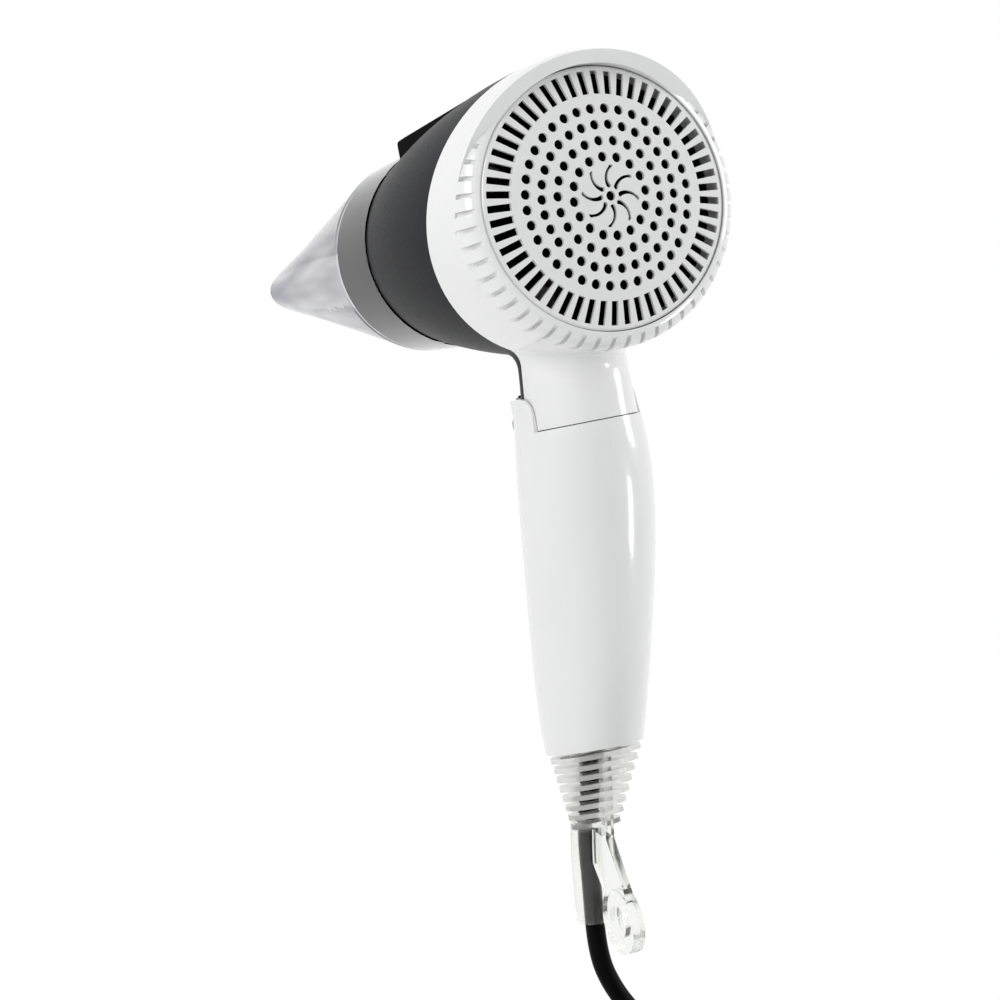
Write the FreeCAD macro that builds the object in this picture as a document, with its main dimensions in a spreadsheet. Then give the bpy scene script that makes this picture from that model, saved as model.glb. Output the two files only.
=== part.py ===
"""Folding hair dryer: a parametric FreeCAD document, one named solid for each piece.

The row frame has its origin at the middle of the hand grip. +X is the way the air leaves, +Y is
the dryer's left and +Z is up. The barrel lies along X. The handle leans forward by the lean
angle, and handle pieces are drawn in an upright grip frame, then leaned about the origin.
"""
import FreeCAD, Part
import math
import os
import Sketcher

VECTOR = FreeCAD.Vector

# Driving dimensions, in millimetres and degrees.
DIMENSIONS = {
    # where the barrel stands over the grip
    "lean": 19.6,
    "grip_back": 64.9,
    "grip_drop": 108.6,
    # barrel skin
    "barrel_radius": 45.2,
    "barrel_crown": 7.0,
    "barrel_back": 2.6,
    "back_radius": 43.5,
    "shoulder_x": 114.5,
    "shoulder_radius": 33.2,
    "seat_radius": 31.6,
    "outlet_x": 145.4,
    "outlet_radius": 30.5,
    "wall": 1.7,
    "collar_back": 10.6,
    # curved line where the white rear shell meets the dark front shell
    "parting": 12.4,
    "parting_level": 114.0,
    "parting_sweep": 280.0,
    # fluted rim round the inlet
    "rim_x": 5.2,
    "rim_bore": 40.25,
    "rim_land": 0.4,
    "rim_crown": 11.5,
    "rim_round": 7.0,
    "rim_depth": 13.5,
    "flute_width": 1.5,
    "flute_floor": 41.3,
    "flute_end": 16.5,
    # neck and fold seam, which lies level under the barrel
    "seam": 43.7,
    "seam_gap": 0.3,
    "neck_foot_x": -12.4,
    "neck_foot_depth": 20.8,
    "neck_foot_width": 17.9,
    "neck_middle": 54.0,
    "neck_middle_x": -14.6,
    "neck_middle_depth": 19.0,
    "neck_middle_width": 17.1,
    "neck_top_x": -15.6,
    "neck_top_depth": 18.2,
    "neck_top_width": 17.0,
    # hinge
    "pivot_x": 20.1,
    "pivot_z": 42.7,
    "knuckle_radius": 9.0,
    "knuckle_half": 11.8,
    "hinge_gap": 0.3,
    "pin_radius": 2.0,
    "pin_play": 0.05,
    # handle
    "handle_wall": 2.2,
    "handle_top": 54.0,
    "handle_top_x": 5.6,
    "handle_top_depth": 21.6,
    "handle_top_width": 17.8,
    "palm_x": 0.0,
    "palm_z": 18.0,
    "palm_depth": 21.5,
    "palm_width": 21.2,
    "waist_z": -16.0,
    "waist_x": 0.8,
    "waist_depth": 21.6,
    "waist_width": 19.3,
    "heel_z": -44.0,
    "heel_x": 2.4,
    "heel_depth": 20.3,
    "heel_width": 17.1,
    "foot": -58.2,
    "foot_z": -72.0,
    "foot_x": 2.6,
    "foot_depth": 15.5,
    "foot_width": 13.7,
    "post_radius": 3.4,
    "screw_radius": 1.4,
    "screw_head": 2.9,
    "screw_reach": 11.5,
    "relief_neck": 8.6,
    # inlet grille
    "dome_radius": 148.4,
    "face_radius": 39.3,
    "cap_play": 0.3,
    "cap_depth": 12.6,
    "grille_wall": 1.3,
    "hole_radius": 1.5,
    "ring_one": 11.95,
    "ring_pitch": 4.92,
    "slot_inner": 31.2,
    "slot_outer": 38.4,
    "slot_width": 2.2,
    "swirl_start": 3.1,
    "swirl_end": 8.7,
    "swirl_sweep": 4.6,
    "swirl_lean": 1.9,
    "swirl_width": 1.6,
    "swirl_round": 0.85,
    # nozzle
    "nozzle_x": 114.8,
    "nozzle_gap": 0.3,
    "nozzle_wall": 1.3,
    "nozzle_lip": 0.5,
    "nozzle_tip": 226.0,
    "tip_half_width": 25.6,
    "tip_half_height": 10.8,
    # black hood on top of the barrel
    "hood_back": 54.0,
    "hood_front": 112.8,
    "hood_half": 16.5,
    "hood_rise": 5.3,
    "hood_corner": 1.5,
    # air path
    "duct_radius": 39.4,
    "duct_start": 15.0,
    "duct_end": 66.0,
    "duct_wall": 1.5,
    "hub_radius": 15.6,
    "vane_start": 42.0,
    "blade_thick": 1.5,
    "fan_radius": 37.0,
    "fan_hub": 12.0,
    "fan_start": 17.0,
    "fan_depth": 13.0,
    "motor_radius": 13.8,
    "motor_start": 36.0,
    "motor_length": 32.0,
    "shaft_radius": 1.15,
    "liner_wall": 0.8,
    "liner_start": 74.0,
    "liner_end": 138.0,
    "board_thick": 0.8,
    "coil_radius": 23.0,
    "coil_wire": 1.6,
    "coil_pitch": 5.4,
    "guard_x": 139.6,
    "guard_depth": 3.0,
    # switch panel
    "panel_top": 32.0,
    "panel_bottom": -29.0,
    "panel_half": 8.6,
    "panel_rise": 0.8,
    "panel_back": 17.2,
    "track_floor": 20.2,
    "slider_half": 3.9,
    "stem_half": 1.5,
    "flange_thick": 1.6,
    "slider_length": 9.0,
    "slider_travel": 8.0,
    "slider_top": 23.6,
    "heat_z": 17.5,
    "speed_z": -2.5,
    "cool_z": -20.5,
    "button_radius": 4.6,
    "button_travel": 1.6,
    "fit_gap": 0.2,
    # strain relief and cord
    "cord_radius": 3.2,
    "fin_thick": 1.6,
    "fin_pitch": 3.25,
    "fin_first": 1.4,
    "fin_top_depth": 15.4,
    "fin_top_width": 14.4,
    "fin_end_depth": 9.2,
    "fin_end_width": 7.8,
    "sleeve_wall": 2.6,
    "relief_play": 0.15,
    "web_thick": 3.0,
    "web_top": -57.0,
    "web_low": -91.4,
    "relief_flange": 3.0,
    "clamp_half": 9.0,
    "clamp_height": 6.0,
    "loop_radius": 10.7,
    "loop_hole": 5.4,
    "loop_thick": 4.2,
    "loop_x": -13.8,
    "loop_z": -117.4,
    # put-away cord and plug
    "floor_z": -182.0,
    "coil_inner": 25.4,
    "coil_outer": 44.8,
    "coil_height": 19.4,
    "coil_x": 12.0,
    "coil_y": -54.5,
    "plug_half_height": 9.2,
    "plug_half_width": 18.0,
    "plug_length": 36.0,
    "plug_boot_length": 22.0,
    "plug_pin_radius": 2.4,
    "plug_pin_gap": 19.0,
    "plug_pin_length": 19.0,
}

FIN_COUNT = 8
RING_HOLES = (16, 22, 30, 36)
RIM_SLOTS = 54
SWIRL_SLOTS = 8
FAN_BLADES = 9
DUCT_VANES = 7
COIL_TURNS = 8
GUARD_RINGS = 2
SLIDER_RIBS = 4


class Size:
    """A number that also carries the sheet expression that gives it."""

    def __init__(self, value, text):
        self.value = float(value)
        self.text = text

    def __add__(self, other):
        other = as_size(other)
        return Size(self.value + other.value, f"({self.text} + {other.text})")

    def __sub__(self, other):
        other = as_size(other)
        return Size(self.value - other.value, f"({self.text} - {other.text})")

    def __mul__(self, other):
        other = as_size(other)
        return Size(self.value * other.value, f"({self.text} * {other.text})")

    def __truediv__(self, other):
        other = as_size(other)
        return Size(self.value / other.value, f"({self.text} / {other.text})")

    def __neg__(self):
        return as_size(0) - self

    def __radd__(self, other):
        return as_size(other) + self

    def __rsub__(self, other):
        return as_size(other) - self

    def __rmul__(self, other):
        return as_size(other) * self


def as_size(number):
    if isinstance(number, Size):
        return number
    return Size(number, f"({float(number)!r})")


def root(size):
    return Size(math.sqrt(size.value), f"sqrt({size.text})")


def sine(angle):
    angle = as_size(angle)
    return Size(math.sin(math.radians(angle.value)), f"sin({angle.text})")


def cosine(angle):
    angle = as_size(angle)
    return Size(math.cos(math.radians(angle.value)), f"cos({angle.text})")


doc = FreeCAD.newDocument("hair_dryer")
sheet = doc.addObject("Spreadsheet::Sheet", "Sizes")
for row, (word, number) in enumerate(DIMENSIONS.items(), start=1):
    sheet.set(f"A{row}", word)
    sheet.set(f"B{row}", str(number))
    sheet.setAlias(f"B{row}", word)
doc.recompute()


spots = {}


def dim(word):
    """The driving dimension of that name."""
    return Size(sheet.get(word), f"Sizes.{word}")


# ---------------------------------------------------------------- drawing helpers

def bind(thing, name, size):
    size = as_size(size)
    setattr(thing, name, size.value)
    if "Sizes." in size.text:
        thing.setExpression(name, size.text)


def place(thing, x=0, y=0, z=0, axis=(0, 1, 0), angle=0):
    """Give a piece its Placement, tied to the sheet wherever a size drives it."""
    spots[thing.Name] = (as_size(x), as_size(y), as_size(z))
    turn = as_size(angle)
    thing.Placement = FreeCAD.Placement(VECTOR(), FreeCAD.Rotation(VECTOR(*axis), turn.value))
    if "Sizes." in turn.text:
        thing.setExpression("Placement.Rotation.Angle", turn.text)
    return stand(thing, *spots[thing.Name])


def stand(thing, x, y, z):
    """Set the base point of a Placement and keep its turn."""
    spots[thing.Name] = (x, y, z)
    rotation = thing.Placement.Rotation
    thing.Placement = FreeCAD.Placement(VECTOR(x.value, y.value, z.value), rotation)
    for letter, spot in zip("xyz", spots[thing.Name]):
        if "Sizes." in spot.text:
            thing.setExpression(f"Placement.Base.{letter}", spot.text)
    return thing


def lean(thing):
    """Tip a piece drawn in the upright grip frame to the handle's lean."""
    x, y, z = spots.get(thing.Name, (as_size(0),) * 3)
    tilt = dim("lean")
    if "rod_along_y" not in thing.Label2:
        place(thing, angle=-tilt)
    if x.value == 0 and z.value == 0:
        return stand(thing, x, y, z)
    return stand(thing, x * cosine(tilt) - z * sine(tilt), y, x * sine(tilt) + z * cosine(tilt))


def on_barrel(thing):
    """Move a piece drawn from the grille's apex along X to its place over the grip."""
    x, y, z = spots.get(thing.Name, (as_size(0),) * 3)
    return stand(thing, x - dim("grip_back"), y, z + dim("grip_drop"))


def level(thing):
    """Turn an upright piece back, so that it comes level once its holder is leaned."""
    x, y, z = spots[thing.Name]
    tilt = dim("lean")
    place(thing, angle=tilt)
    return stand(thing, x * cosine(tilt) + z * sine(tilt), y, z * cosine(tilt) - x * sine(tilt))


def axis_x(offset, height):
    """Where the leaned line at that offset from the grip's axis crosses a level height."""
    return (as_size(offset) - as_size(height) * sine(dim("lean"))) / cosine(dim("lean"))


def box(label, x, y, z):
    thing = doc.addObject("Part::Box", label)
    bind(thing, "Length", as_size(x[1]) - x[0])
    bind(thing, "Width", as_size(y[1]) - y[0])
    bind(thing, "Height", as_size(z[1]) - z[0])
    return place(thing, x[0], y[0], z[0])


def rod(label, along, radius, span, x=0, y=0, z=0):
    """A cylinder along X, Y or Z, from span[0] to span[1] on that axis."""
    thing = doc.addObject("Part::Cylinder", label)
    bind(thing, "Radius", radius)
    bind(thing, "Height", as_size(span[1]) - span[0])
    if along == "X":
        return place(thing, span[0], y, z, (0, 1, 0), 90)
    if along == "Y":
        thing.Label2 = "rod_along_y"
        return place(thing, x, span[0], z, (1, 0, 0), -90)
    return place(thing, x, y, span[0])


def cut(label, base, *tools):
    thing = doc.addObject("Part::Cut", label)
    thing.Base = base
    thing.Tool = tools[0] if len(tools) == 1 else fuse(label + "_tools", *tools)
    return thing


def fuse(label, *pieces):
    thing = doc.addObject("Part::MultiFuse", label)
    thing.Shapes = list(pieces)
    return thing


def common(label, first, second):
    thing = doc.addObject("Part::Common", label)
    thing.Base = first
    thing.Tool = second
    return thing


def loft(label, sections):
    """A solid through upright ellipses: (x, z, half depth, half width) each."""
    rings = []
    for number, (x, z, depth, width) in enumerate(sections):
        ring = doc.addObject("Part::Ellipse", f"{label}_ring_{number}")
        bind(ring, "MajorRadius", depth)
        bind(ring, "MinorRadius", width)
        rings.append(place(ring, x=x, z=z))
    thing = doc.addObject("Part::Loft", label)
    thing.Sections = rings
    thing.Solid = True
    return thing


def origin_part(body, role):
    return [part for part in body.Origin.OriginFeatures if part.Role == role][0]


def new_body(label):
    return doc.addObject("PartDesign::Body", label)


def new_sketch(body, role, name):
    sketch = body.newObject("Sketcher::SketchObject", name)
    sketch.AttachmentSupport = (origin_part(body, role), [""])
    sketch.MapMode = "FlatFace"
    return sketch


def fix(sketch, kind, geometry, point, size):
    """Hold a point's x or y at a size, or on the sketch axis when that size is zero."""
    size = as_size(size)
    if size.text == "(0.0)":
        axis = -2 if kind == "DistanceX" else -1
        sketch.addConstraint(Sketcher.Constraint("PointOnObject", geometry, point, axis))
        return
    spot = sketch.addConstraint(
        Sketcher.Constraint(kind, -1, 1, geometry, point, size.value))
    if "Sizes." in size.text:
        sketch.setExpression(f"Constraints[{spot}]", size.text)


def arc_between(start, end, radius):
    """The arc from start to end, its centre on the left for a positive radius."""
    chord = end - start
    left = VECTOR(-chord.y, chord.x, 0).normalize()
    rise = abs(radius) - math.sqrt(max(radius ** 2 - (chord.Length / 2) ** 2, 0.0))
    side = -1 if radius > 0 else 1
    middle = (start + end) * 0.5 + left * (side * rise)
    return Part.Arc(start, middle, end)


def outline(sketch, corners):
    """A closed outline through corners (x, y) or (x, y, radius of the arc that arrives)."""
    spots = [VECTOR(as_size(c[0]).value, as_size(c[1]).value, 0) for c in corners]
    first = sketch.GeometryCount
    count = len(corners)
    for number in range(count):
        after = corners[(number + 1) % count]
        start = spots[number]
        end = spots[(number + 1) % count]
        if len(after) == 3:
            sketch.addGeometry(arc_between(start, end, as_size(after[2]).value))
        else:
            sketch.addGeometry(Part.LineSegment(start, end))
    starts = []
    for number in range(count):
        near = (sketch.getPoint(first + number, 1) - spots[number]).Length < 1e-6
        starts.append(1 if near else 2)
    for number, corner in enumerate(corners):
        here = first + number
        before = (number - 1) % count
        sketch.addConstraint(Sketcher.Constraint(
            "Coincident", first + before, 3 - starts[before], here, starts[number]))
        fix(sketch, "DistanceX", here, starts[number], corner[0])
        fix(sketch, "DistanceY", here, starts[number], corner[1])
        if len(corner) == 3:
            bend = as_size(corner[2])
            bend = bend if bend.value > 0 else -bend
            spot = sketch.addConstraint(
                Sketcher.Constraint("Radius", first + before, bend.value))
            if "Sizes." in bend.text:
                sketch.setExpression(f"Constraints[{spot}]", bend.text)


def turned(label, corners):
    """A body turned about X from an outline of (x, radius) corners."""
    body = new_body(label)
    sketch = new_sketch(body, "XZ_Plane", label + "_profile")
    outline(sketch, corners)
    turn = body.newObject("PartDesign::Revolution", label + "_turn")
    turn.Profile = sketch
    turn.ReferenceAxis = (sketch, ["H_Axis"])
    turn.Angle = 360
    return body


def ring(label, x, outer, inner):
    """A plain tube about X from x[0] to x[1]."""
    return turned(label, [(x[0], inner), (x[0], outer), (x[1], outer), (x[1], inner)])


def pattern(body, feature, count):
    """Repeat a feature evenly about the body's X axis."""
    doc.recompute()
    around = body.newObject("PartDesign::PolarPattern", feature.Name + "_around")
    around.Originals = [feature]
    around.Axis = (origin_part(body, "X_Axis"), [""])
    around.Angle = 360
    around.Occurrences = count
    body.Tip = around
    return around


def pocket(body, sketch, name):
    """Cut a sketch right through the body, both ways."""
    hole = body.newObject("PartDesign::Pocket", name)
    hole.Profile = sketch
    hole.Type = "ThroughAll"
    hole.SideType = "Symmetric"
    return hole


# ---------------------------------------------------------------- head housing

def sweep_radius():
    """Radius of the long curve from the barrel's crown to its shoulder."""
    reach = dim("shoulder_x") - dim("barrel_crown")
    drop = dim("barrel_radius") - dim("shoulder_radius")
    return (reach * reach + drop * drop) / (2 * drop)


def front_outline(inset, front):
    """The skin from its shoulder to the front, as (x, radius) corners moved in by inset."""
    return [
        (dim("shoulder_x"), dim("shoulder_radius") - inset, -sweep_radius()),
        (dim("shoulder_x"), dim("seat_radius") - inset),
        (front, dim("outlet_radius") - inset),
        (front, 0),
    ]


def skin_outline(outset):
    """The whole barrel's skin, moved out by outset."""
    step = dim("barrel_radius") - dim("back_radius")
    run = dim("barrel_crown") + dim("barrel_back")
    crown = (run * run + step * step) / (2 * step)
    return [
        (-dim("barrel_back"), 0),
        (-dim("barrel_back"), dim("back_radius") + outset),
        (dim("barrel_crown"), dim("barrel_radius") + outset, -crown),
        *front_outline(-as_size(outset), dim("outlet_x")),
    ]


def skin_radius(x):
    """The barrel skin's radius at a place on its long curve."""
    away = as_size(x) - dim("barrel_crown")
    sweep = sweep_radius()
    return dim("barrel_radius") - sweep + root(sweep * sweep - away * away)


def upright_ring(label, x, z, depth, width):
    """A level ellipse at a height."""
    oval = doc.addObject("Part::Ellipse", label)
    bind(oval, "MajorRadius", depth)
    bind(oval, "MinorRadius", width)
    return place(oval, x=x, z=z)


def neck_loft(label, sections):
    """A filled form through level ellipses: (x, z, half depth, half width) each."""
    rings = [upright_ring(f"{label}_ring_{number}", *section)
             for number, section in enumerate(sections)]
    thing = doc.addObject("Part::Loft", label)
    thing.Sections = rings
    thing.Solid = True
    return thing


def neck_section(part, z, inset=0):
    return (dim(f"neck_{part}_x"), z, dim(f"neck_{part}_depth") - inset,
            dim(f"neck_{part}_width") - inset)


def neck_sections():
    """The neck's outside, from the seam up into the barrel."""
    return [neck_section("foot", dim("seam") + dim("seam_gap") / 2),
            neck_section("middle", dim("neck_middle")),
            neck_section("top", dim("grip_drop") - dim("barrel_radius") / 2)]


def rim_body():
    """Barrel with a rounded, fluted rim round the inlet."""
    start = dim("rim_x")
    crown = dim("rim_crown")
    body = turned("fluted_barrel", [
        (start, 0),
        (start, dim("rim_bore") + dim("rim_land")),
        (crown, skin_radius(crown), -dim("rim_round")),
        *front_outline(0, dim("outlet_x")),
    ])
    flute = new_sketch(body, "XZ_Plane", "flute_profile")
    above = dim("barrel_radius") + 1
    outline(flute, [
        (start - 1, dim("flute_floor")),
        (dim("flute_end"), skin_radius(dim("flute_end"))),
        (dim("flute_end"), above),
        (start - 1, above),
    ])
    groove = body.newObject("PartDesign::Pocket", "flute")
    groove.Profile = flute
    groove.Type = "Length"
    groove.SideType = "Symmetric"
    bind(groove, "Length", dim("flute_width"))
    pattern(body, groove, RIM_SLOTS)
    return on_barrel(body)


def head_skin():
    """Barrel, its smooth brow over the inlet and the neck, as one filled form."""
    brow_end = dim("flute_end") + 1
    step = dim("barrel_radius") - dim("back_radius")
    run = dim("barrel_crown") + dim("barrel_back")
    crown = (run * run + step * step) / (2 * step)
    brow = on_barrel(turned("brow_ring", [
        (-dim("barrel_back"), dim("duct_radius")),
        (-dim("barrel_back"), dim("back_radius")),
        (dim("barrel_crown"), dim("barrel_radius"), -crown),
        (brow_end, skin_radius(brow_end), -sweep_radius()),
        (brow_end, dim("duct_radius")),
    ]))
    half = 2 * dim("barrel_radius")
    behind = lean(box("behind_brow", (-2 * half, -dim("collar_back")), (-half, half),
                      (0, 4 * half)))
    neck = neck_loft("neck_form", neck_sections())
    return fuse("head_form", rim_body(), cut("brow", brow, behind), neck)


def head_hollow():
    """The space inside barrel and neck, open at the back and at the outlet."""
    wall = dim("wall")
    depth = dim("rim_depth")
    opening = depth + wall
    back = -dim("barrel_back") - 1
    barrel = on_barrel(turned("barrel_hollow", [
        (back, 0),
        (back, dim("rim_bore")),
        (depth, dim("rim_bore")),
        (opening, skin_radius(opening) - wall),
        *front_outline(wall, dim("outlet_x") + 1),
    ]))
    deck = dim("seam") + dim("handle_wall")
    neck = neck_loft("neck_room", [
        neck_section("foot", deck, wall),
        neck_section("middle", dim("neck_middle"), wall),
        neck_section("top", dim("grip_drop") - dim("barrel_radius") / 2, wall),
    ])
    knuckle = dim("knuckle_radius") + dim("handle_wall")
    guard = lean(pivot_rod("knuckle_wall", knuckle, dim("barrel_radius")))
    return fuse("head_room", barrel, cut("neck_hollow", neck, guard))


def pivot_rod(label, radius, half):
    """A cylinder about the fold pivot, drawn in the grip frame."""
    return rod(label, "Y", radius, (-as_size(half), half), x=dim("pivot_x"), z=dim("pivot_z"))


def head_shells():
    """Dark front shell and white rear shell, parted on a curve that runs down the neck."""
    half = 2 * dim("barrel_radius")
    seat = lean(pivot_rod("knuckle_seat", dim("knuckle_radius") + dim("pin_play"), half))
    shell = cut("head_shell", head_skin(), head_hollow(), seat,
                lean(window_box("neck_window")))
    behind = lean(rod("behind_parting", "Y", dim("parting_sweep"), (-half, half),
                      x=dim("parting") - dim("parting_sweep"), z=dim("parting_level")))
    return cut("front_shell", shell, behind), common("rear_shell", shell, behind)


def top_hood():
    """Black wedge on top of the barrel, which rises toward a flat front face."""
    back = dim("hood_back")
    front = dim("hood_front")
    corner = dim("hood_corner")
    top = skin_radius(front) + dim("hood_rise")
    form = on_barrel(turned("hood_cone", [
        (back, 0),
        (back, skin_radius(back)),
        (front - corner, top + corner / 10),
        (front, top - corner, -corner),
        (front, 0),
    ]))
    half = dim("hood_half")
    block = on_barrel(box("hood_block", (back, front), (-half, half),
                          (dim("barrel_radius") / 2, dim("barrel_radius") + 1)))
    under = on_barrel(turned("hood_under", skin_outline(dim("pin_play"))))
    return common("top_hood", cut("hood_pad", block, under), form)


# ---------------------------------------------------------------- inlet grille

def rear_grille():
    """Domed inlet cap that sits in the rim: four rings of holes, rim slots and a swirl."""
    face = dim("face_radius")
    dome = dim("dome_radius")
    wall = dim("grille_wall")
    side = dim("rim_bore") - dim("cap_play")
    edge = dome - root(dome * dome - face * face)
    inner = dome - wall
    inner_face = side - wall
    inner_edge = dome - root(inner * inner - inner_face * inner_face)
    body = turned("rear_grille", [
        (0, 0),
        (edge, face, -dome),
        (edge + 0.6, side),
        (dim("cap_depth"), side),
        (dim("cap_depth"), inner_face),
        (inner_edge, inner_face),
        (wall, 0, inner),
    ])
    for number, count in enumerate(RING_HOLES):
        distance = dim("ring_one") + number * dim("ring_pitch")
        hole = round_pocket(body, f"holes_{number}", distance, dim("hole_radius"))
        pattern(body, hole, count)
    grille_slots(body)
    return on_barrel(body)


def round_pocket(body, name, distance, radius):
    """A round hole through the body along X, its middle at a distance up from the axis."""
    sketch = new_sketch(body, "YZ_Plane", name + "_profile")
    hole = sketch.addGeometry(Part.Circle(VECTOR(0, distance.value, 0), VECTOR(0, 0, 1), 1))
    fix(sketch, "DistanceX", hole, 3, 0)
    fix(sketch, "DistanceY", hole, 3, distance)
    size = sketch.addConstraint(Sketcher.Constraint("Radius", hole, radius.value))
    sketch.setExpression(f"Constraints[{size}]", radius.text)
    return pocket(body, sketch, name)


def grille_slots(body):
    """Radial slots round the edge, a swirl of curved slots and a hole in the middle."""
    half = dim("slot_width") / 2
    rim = new_sketch(body, "YZ_Plane", "rim_slot")
    outline(rim, [
        (-half, dim("slot_inner")),
        (half, dim("slot_inner")),
        (half, dim("slot_outer")),
        (-half, dim("slot_outer")),
    ])
    pattern(body, pocket(body, rim, "rim_slots"), RIM_SLOTS)
    swirl = new_sketch(body, "YZ_Plane", "swirl_slot")
    half = dim("swirl_width") / 2
    sweep = dim("swirl_sweep")
    outline(swirl, [
        (-half, dim("swirl_start"), -dim("swirl_round")),
        (-half - dim("swirl_lean"), dim("swirl_end"), sweep - half),
        (half - dim("swirl_lean"), dim("swirl_end"), -dim("swirl_round")),
        (half, dim("swirl_start"), -(sweep + half)),
    ])
    pattern(body, pocket(body, swirl, "swirl_slots"), SWIRL_SLOTS)
    body.Tip = round_pocket(body, "centre_hole", as_size(0), dim("hole_radius"))


# ---------------------------------------------------------------- nozzle

def ruled(label, sections):
    """Straight-sided form through ovals across X: (x, half width, half height) each."""
    rings = []
    for number, (x, wide, high) in enumerate(sections):
        oval = doc.addObject("Part::Ellipse", f"{label}_ring_{number}")
        bind(oval, "MajorRadius", wide)
        bind(oval, "MinorRadius", high)
        rings.append(place(oval, x=x, axis=(1, 1, 1), angle=120))
    thing = doc.addObject("Part::Loft", label)
    thing.Sections = rings
    thing.Solid = True
    thing.Ruled = True
    return thing


def nozzle():
    """Clear concentrator: round over the outlet, a flat oval at its tip."""
    seat = dim("seat_radius") + dim("nozzle_gap")
    mouth = dim("outlet_radius") + dim("nozzle_gap")
    wall = dim("nozzle_wall")
    stop = dim("outlet_x") + 0.6
    rim = seat + wall + dim("nozzle_lip")
    skin = ruled("nozzle_skin", [
        (dim("nozzle_x"), rim, rim),
        (stop, mouth + wall, mouth + wall),
        (dim("nozzle_tip"), dim("tip_half_width"), dim("tip_half_height")),
    ])
    room = ruled("nozzle_room", [
        (dim("nozzle_x"), seat, seat),
        (stop, mouth, mouth),
        (dim("nozzle_tip"), dim("tip_half_width") - wall, dim("tip_half_height") - wall),
    ])
    return on_barrel(cut("nozzle", skin, room))


# ---------------------------------------------------------------- hinge

def hinge_knuckle():
    """Dark barrel of the fold hinge, held by the neck, free to turn in the handle."""
    barrel = pivot_rod("knuckle_barrel", dim("knuckle_radius"), dim("knuckle_half"))
    bore = pivot_rod("knuckle_bore", dim("pin_radius") + dim("pin_play"),
                     dim("knuckle_half") + 1)
    solid = cut("knuckle_solid", barrel, bore, window_box("knuckle_window"))
    skin = loft("knuckle_skin", handle_sections(0, dim("foot_z"), dim("handle_top")))
    return lean(common("hinge_knuckle", skin, solid))


def window_box(label):
    """Passage behind the pin for the leads, drawn in the grip frame."""
    x = dim("pivot_x")
    z = dim("pivot_z")
    near = dim("pin_radius") + 1
    far = dim("knuckle_radius") - 1
    reach = dim("knuckle_radius") + 2 * dim("handle_wall")
    return box(label, (x - far, x - near), (-4, 4), (z - reach, z + reach))


def hinge_pin():
    return lean(pivot_rod("hinge_pin", dim("pin_radius"), pin_half()))


def pin_half():
    """Half the pin's length, through the knuckle and into both ears."""
    return dim("knuckle_half") + dim("handle_wall")


# ---------------------------------------------------------------- air path

def fan_duct():
    """Duct round the fan, with stator vanes that carry the motor's hub ring."""
    start = dim("duct_start")
    end = dim("duct_end")
    outer = dim("duct_radius")
    inner = outer - dim("duct_wall")
    flange = skin_radius(end) - dim("wall") - dim("hinge_gap")
    body = turned("duct_ring", [
        (start, inner),
        (start, outer),
        (end - 2, outer),
        (end - 2, flange),
        (end, flange),
        (end, inner),
    ])
    hub = ring("duct_hub", (dim("vane_start"), end), dim("hub_radius"),
               dim("motor_radius") + dim("fit_gap"))
    notch = box("lead_notch", (end - 9, end + 1), (-2.5, 2.5), (-flange - 1, 1 - inner))
    vanes = []
    for number in range(DUCT_VANES):
        vane = box(f"vane_{number}", (dim("vane_start"), end - 4),
                   (-0.7, 0.7), (dim("hub_radius") - 0.3, inner + 0.3))
        vanes.append(around(vane, number * 360 / DUCT_VANES))
    return on_barrel(cut("fan_duct", fuse("duct_form", body, hub, *vanes), notch))


def around(thing, angle):
    """The same piece turned about the X axis by an angle."""
    holder = doc.addObject("Part::Compound", thing.Name + "_turned")
    holder.Links = [thing]
    return place(holder, axis=(1, 0, 0), angle=angle)


def impeller():
    """Axial fan: a hub and slanted blades that just clear the duct."""
    start = dim("fan_start")
    end = start + dim("fan_depth")
    hub = dim("fan_hub")
    body = turned("impeller", [
        (start, dim("shaft_radius")),
        (start, hub - 3),
        (start + 3, hub, -3),
        (end, hub),
        (end, dim("shaft_radius")),
    ])
    sketch = new_sketch(body, "XY_Plane", "blade_profile")
    slope = dim("fan_depth") * 0.42
    half = dim("blade_thick") / 2
    outline(sketch, [
        (start + 1, -slope - half),
        (end - 0.5, slope - half),
        (end - 0.5, slope + half),
        (start + 1, -slope + half),
    ])
    blade = body.newObject("PartDesign::Pad", "blade")
    blade.Profile = sketch
    bind(blade, "Length", root(dim("fan_radius") * dim("fan_radius") - slope * slope))
    groove = new_sketch(body, "XZ_Plane", "bore_profile")
    outline(groove, [
        (start - 1, 0),
        (end + 1, 0),
        (end + 1, dim("shaft_radius")),
        (start - 1, dim("shaft_radius")),
    ])
    pattern(body, blade, FAN_BLADES)
    bore = body.newObject("PartDesign::Groove", "bore")
    bore.Profile = groove
    bore.ReferenceAxis = (groove, ["H_Axis"])
    bore.Angle = 360
    return on_barrel(body)


def motor():
    """Motor can, its rear cap and the shaft that carries the impeller."""
    start = dim("motor_start")
    end = start + dim("motor_length")
    bore = dim("shaft_radius") + dim("pin_play")
    can = on_barrel(ring("motor_can", (start, end), dim("motor_radius"), bore))
    cap = on_barrel(turned("motor_end_cap", [
        (end, 0),
        (end, dim("motor_radius") - 1.5),
        (end + 2.5, dim("motor_radius") - 4),
        (end + 2.5, 0),
    ]))
    shaft = rod("motor_shaft", "X", dim("shaft_radius"), (dim("fan_start") - 1.5, end - 2))
    return can, cap, on_barrel(shaft)


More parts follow.
